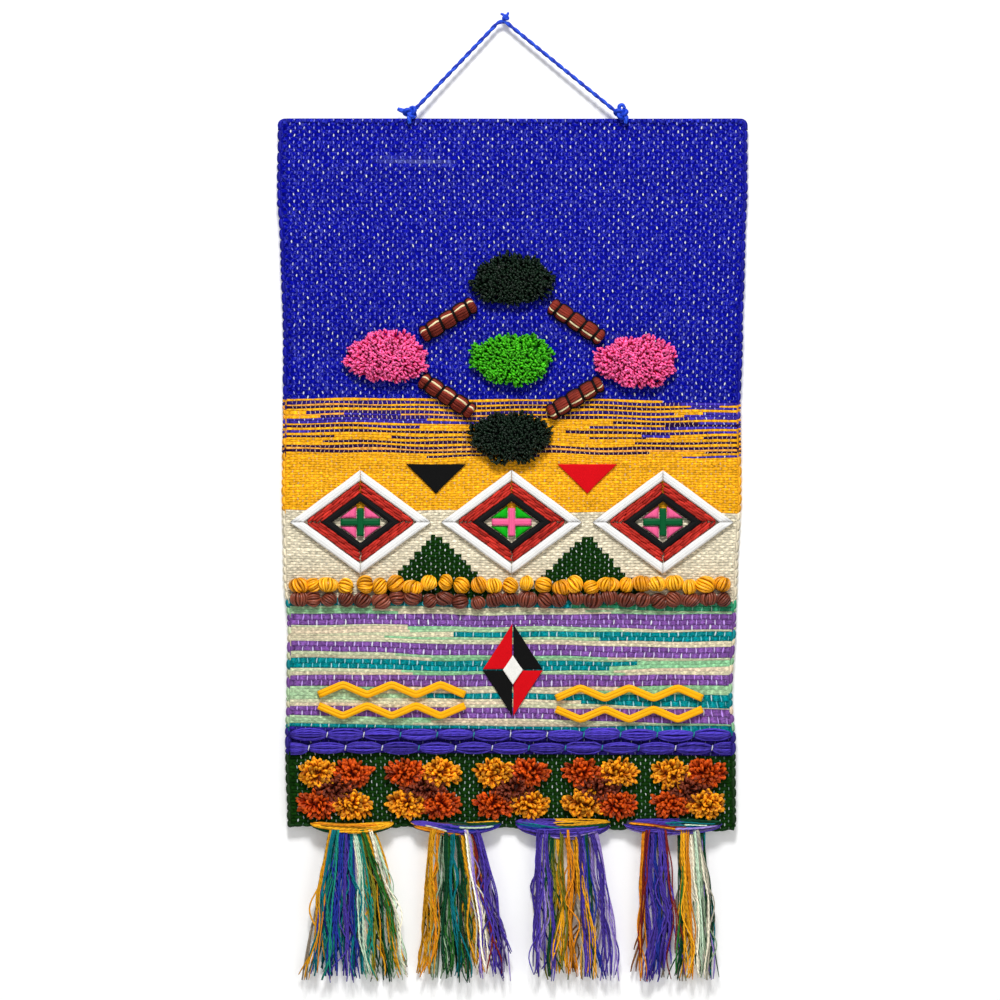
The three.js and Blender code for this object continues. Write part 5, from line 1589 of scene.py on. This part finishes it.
# Each swag: its ends, the depth of its middle and its half height, and its strands as (dye, strands, from and to
# along it, height at its start and at its end, where -1 is its top and 1 its bottom). Each hank: its sides at
# the top and at the ends, the strands of its locks from left to right, and those of the locks behind them.
TASSELS = {
    "tassel_1": {
        "span": (-173, -101), "middle": (610.0, 5.6),
        "swag": [
            ("pine", 6, 0, 1, 0.95, 0.9), ("gold", 9, 0, 1, -0.3, -0.35), ("teal", 1, 0.2, 0.95, 0.75, 0.5),
            ("gold_orange", 4, 0, 0.9, -0.7, -0.2), ("gold", 7, 0, 1, 0.2, 0.1), ("olive", 1, 0.1, 0.75, 0.3, 0.55),
            ("gold", 3, 0.3, 0.8, 0.75, 0.6),
        ],
        "hanks": [
            (
                (-155, -121), (-176, -88),
                "7 gold, 4 gold_orange, 10 teal, 7 teal_green, 13 blue, 5 teal, 7 violet, 7 blue, 7 teal, 5 mint, "
                "5 cream, 6 teal_green, 4 olive, 3 gold, 8 pine, 5 leaf, 4 gold, 7 sage, 4 mint, 3 cream, 3 gold",
                "3 dust, 4 teal, 7 blue, 4 violet, 3 dust, 4 sage, 4 pine, 4 dust",
            ),
        ],
    },
    "tassel_2": {
        "span": (-87, -9), "middle": (610.6, 6.4),
        "swag": [
            ("gold", 10, 0, 0.62, 0.0, 0.85), ("pine", 9, 0.42, 1, -0.3, -0.3), ("gold", 2, 0.62, 1, -1.0, -0.95),
            ("violet", 9, 0, 0.92, -0.75, 0.35), ("blue", 6, 0.25, 1, -0.3, 0.45),
            ("violet", 4, 0.32, 1, 0.75, 0.85), ("cream", 1, 0.12, 0.42, -0.35, 0.45),
            ("mint", 1, 0.52, 0.95, -0.15, 0.15), ("gold_orange", 2, 0.04, 0.55, 0.35, 0.9),
        ],
        "hanks": [
            (
                (-68, -28), (-78, -3),
                "11 gold, 5 gold_orange, 9 sage, 10 pine, 7 leaf, 5 teal, 8 pine, 4 olive, 11 gold, 4 lilac, "
                "7 cream, 2 dark_red, 8 violet, 3 lilac, 7 violet",
                "4 gold, 6 sage, 4 pine, 5 dust, 4 gold, 4 dust, 4 violet",
            ),
        ],
    },
    "tassel_3": {
        "span": (3, 85), "middle": (610.6, 8.6),
        "swag": [
            ("violet", 12, 0, 1, 0.72, 0.72), ("blue", 6, 0, 0.85, -0.15, 0.25), ("violet", 8, 0, 0.7, -0.8, -0.5),
            ("teal", 3, 0, 0.6, -0.35, -0.15), ("pine", 6, 0.42, 1, -0.35, -0.15), ("gold", 6, 0.4, 1, -0.8, -0.7),
            ("violet", 6, 0.2, 0.95, 0.45, 0.3), ("lilac", 1, 0.2, 0.8, 1.02, 1.05),
            ("lilac", 1, 0.45, 0.9, 0.85, 0.6),
        ],
        "hanks": [
            (
                (22, 72), (17, 88),
                "11 violet, 4 lilac, 4 violet, 7 pine, 4 olive, 10 gold, 4 olive, 9 gold_orange, 4 dust, 9 gold, "
                "10 violet, 4 blue, 4 pine, 10 violet, 4 lilac",
                "3 violet, 4 dust, 4 olive, 8 brown, 6 dust, 4 lilac",
            ),
        ],
    },
    "tassel_4": {
        "span": (96, 181), "middle": (609.0, 7.2),
        "swag": [
            ("lilac", 5, 0, 1, 0.85, 0.8), ("violet", 8, 0.08, 0.85, -0.75, -0.35), ("violet", 7, 0, 1, 0.55, 0.5),
            ("blue", 3, 0.4, 0.8, -0.2, 0.1), ("teal", 5, 0.45, 0.98, -0.45, -0.1),
            ("pine", 6, 0.55, 1, -0.75, -0.5), ("gold_orange", 3, 0.03, 0.6, -0.35, 0.2),
            ("dark_red", 2, 0.22, 0.66, -0.3, 0.1), ("mint", 1, 0.62, 1, -0.35, -0.25),
            ("lilac", 2, 0.5, 1, 0.3, 0.2),
        ],
        "hanks": [
            (
                (113, 134), (107, 140),
                "6 gold_orange, 3 dark_red, 12 violet, 7 blue, 12 violet, 3 dark_red",
                "3 brown, 7 violet, 4 dust, 3 violet",
            ),
            (
                (142, 165), (143, 176),
                "5 pine, 3 leaf, 11 gold, 4 gold_orange, 10 cream, 4 mint, 5 sage, 5 cream, 4 pine, 2 teal, 3 lilac",
                "4 dust, 4 gold, 4 sage, 4 dust",
            ),
        ],
    },
}


def counted(text):
    """The dyes and numbers of strands in a list such as "7 gold, 4 teal"."""
    return [(dye, int(number)) for number, dye in (lock.split() for lock in text.split(","))]


def hanging_locks(top, end, locks, rng, behind=False):
    """Loose locks of strands, in wisps of about five. A wisp's middle goes from its place at the top to its place at
    the end as the way down to a power, with a sway of its lock and one of its own that grow on the way. Its strands
    wind slowly round that middle, spread as they go down, and some of them stray from it. Each strand waves as two
    sines, the second one shorter and lower. The locks behind are thicker, painted darker as shade, and lie near the
    wall, and on the way down the strands of both part in depth, so that the hank is full from the side."""
    steps, in_a_wisp = 28, 5
    locks = counted(locks)
    counts = np.array([count for _, count in locks])
    total = counts.sum()
    lock = np.repeat(np.arange(len(locks)), counts)
    order = np.arange(total) - np.repeat(np.cumsum(counts) - counts, counts)
    wisp = np.cumsum(order % in_a_wisp == 0) - 1
    wisps = wisp[-1] + 1
    share = np.array([np.mean(np.flatnonzero(wisp == k)) for k in range(wisps)]) / total
    t = np.linspace(0, 1, steps)

    def own(groups, low, high):
        """A number between low and high for each strand, the same for the strands of one group."""
        return rng.uniform(low, high, groups.max() + 1)[groups][:, None]

    def each(low, high):
        """A number between low and high for each strand."""
        return rng.uniform(low, high, (total, 1))

    start = lerp(*top, share)[wisp][:, None] + own(wisp, -1.2, 1.2) + each(-1.5, 1.5)
    shifted = np.clip(share + rng.normal(0, 0.05, wisps), 0.0, 1.0)
    guide = lerp(start, lerp(*end, shifted)[wisp][:, None], t ** own(lock, 0.5, 0.95))
    for groups, reach, fast in ((lock, 3.2, 1.3), (wisp, 4.4, 2.1)):
        swing = np.sin(2 * np.pi * own(groups, 0.5, fast) * t + own(groups, 0, 6))
        guide = guide + own(groups, -reach, reach) * swing * t**0.7
    around = each(0, 2 * np.pi) + 2 * np.pi * own(wisp, -0.9, 0.9) * t
    apart = np.sqrt(each(0, 1)) * (0.8 + 0.9 * t)
    loose = rng.random((total, 1)) < 0.32
    astray = np.where(loose, rng.normal(0, 5.5, (total, 1)), rng.normal(0, 1.1, (total, 1)))
    curl = np.where(loose, rng.normal(0, 3.0, (total, 1)), rng.normal(0, 1.7, (total, 1)))
    slow, quick, first, second = each(0.8, 2.0), each(2.0, 3.4), each(0, 6), each(0, 6)
    wave = curl * (np.sin(2 * np.pi * slow * t + first) + 0.45 * np.sin(2 * np.pi * quick * t + second))
    across = guide + apart * np.cos(around) * t**0.3 + astray * t**1.6 + wave * np.clip(t * 2.6, 0, 1)
    length = (STRANDS["end"] - STRANDS["top"]) * (own(lock, 0.93, 1.0) - 0.2 * rng.random((total, 1)) ** 2.5)
    proud = own(wisp, 0.5, 6.0) * (0.5 + 0.5 * np.cos(np.pi * t * 0.6)) + 0.8 * apart * np.sin(around) + 1.0
    proud = np.clip(proud, -1.5, 9.5) * (0.2 if behind else 1) - (4.4 if behind else 0)
    proud = proud + t * ((first - 3) * 0.45 + 0.7 if behind else (first - 3) * 0.8)
    base = np.array([linear(TASSEL_DYES[name]) for name, _ in locks])[lock]
    # Locks behind are painted darker, as shade.
    shades = base * np.clip(rng.normal(1, 0.24, (total, 1)), 0.4, 1.6) * (0.8 if behind else 1)
    thick = each(0.72, 1.0) * (1.3 if behind else 1) * np.append(np.ones(steps - 2), [0.85, 0.6])
    return tubes(on_cloth(across, STRANDS["top"] + length * t, proud), thick, 4, colour=shades, turn=np.pi / 4)


def tassel_swag(span, middle, parts, rng):
    """The gathered strands that hang over the bottom edge like a smile: the bundle's line sags as a sine, its height
    is a lens, and its strands lie over a half round and wander across it. Each part runs from one share of the swag's
    length to another and from one share of its height to another, over the parts before it. A core painted dark, as
    shade between the strands, fills the bundle."""
    rows = [
        (low, high, a + (k - (count - 1) / 2) * 0.11, b + (k - (count - 1) / 2) * 0.11, n / len(parts))
        for n, (_, count, low, high, a, b) in enumerate(parts) for k in range(count)
    ]
    low, high, first, last, layer = np.array(rows).T[..., None]
    count, radius = len(rows), 0.82
    t = np.linspace(0, 1, 34)[None]
    share = lerp(low, high, t)

    def bundle(share):
        """The middle line's depth and the half height of the bundle at a share of its length."""
        sag = np.clip(np.sin(np.pi * share), 0, 1)
        return lerp(SWAG["ends"], middle[0], sag**0.6), middle[1] * lerp(0.3, 1, sag**0.5)

    line, half = bundle(share)
    left, right = (end + inwards * np.abs(rng.normal(0, 3, (count, 1))) for end, inwards in zip(span, (1, -1)))
    wander = 0.13 * np.sin(2 * np.pi * share * rng.uniform(0.4, 1.5, (count, 1)) + rng.uniform(0, 6, (count, 1)))
    place = np.clip(lerp(first, last, t) + rng.normal(0, 0.07, (count, 1)) + wander, -1.05, 1.12)
    crown = np.sqrt(np.clip(1 - (place * 0.82) ** 2, 0, 1))
    height = 0.6 + 0.32 * layer + rng.uniform(-0.08, 0.08, (count, 1))
    inside = np.minimum(t, 1 - t)
    tuck = lerp(0.6, 1, np.clip(inside * 9 + 0.25, 0, 1))
    proud = GAP + 0.9 + (SWAG["rise"] - 2.0) * crown * height * (0.25 + 0.75 * half / middle[1]) * tuck
    base = np.array([linear(TASSEL_DYES[name]) for name, number, *_ in parts for _ in range(number)])
    shades = base * np.clip(rng.normal(1, 0.3, (count, 1)), 0.35, 1.7)
    paths = on_cloth(lerp(left, right, share), line + place * (half - radius), proud)
    strands = tubes(paths, radius * np.clip(inside * 14 + 0.4, 0, 1), 5, colour=shades)
    share = np.linspace(0.03, 0.97, 24)
    line, half = bundle(share)
    route = np.stack([lerp(*span, share), line], -1)
    core = padded_rings(route, half - 1.0, (SWAG["rise"] - 3.8) * half / middle[1], shape=section(12))
    # The core is painted dark, as shade between the strands.
    return merged([strands, ring_batch(core, colour=shades.mean(0) * 0.3)])


TASSEL_YARN = wool_yarn("tassel_yarn_strands", plies=2, turns=1.8, groove_shade=0.35, mottle=0.14, specular=0.08)
for i, (name, tassel) in enumerate(TASSELS.items()):
    rng = np.random.default_rng(300 + i)
    parts = []
    for top, end, locks, behind in tassel["hanks"]:
        parts += [hanging_locks(top, end, locks, rng), hanging_locks(top, end, behind, rng, behind=True)]
    parts.append(tassel_swag(tassel["span"], tassel["middle"], tassel["swag"], rng))
    make_piece(f"stranded_{name}", merged(parts), TASSEL_YARN, "tassel_yarn", name)
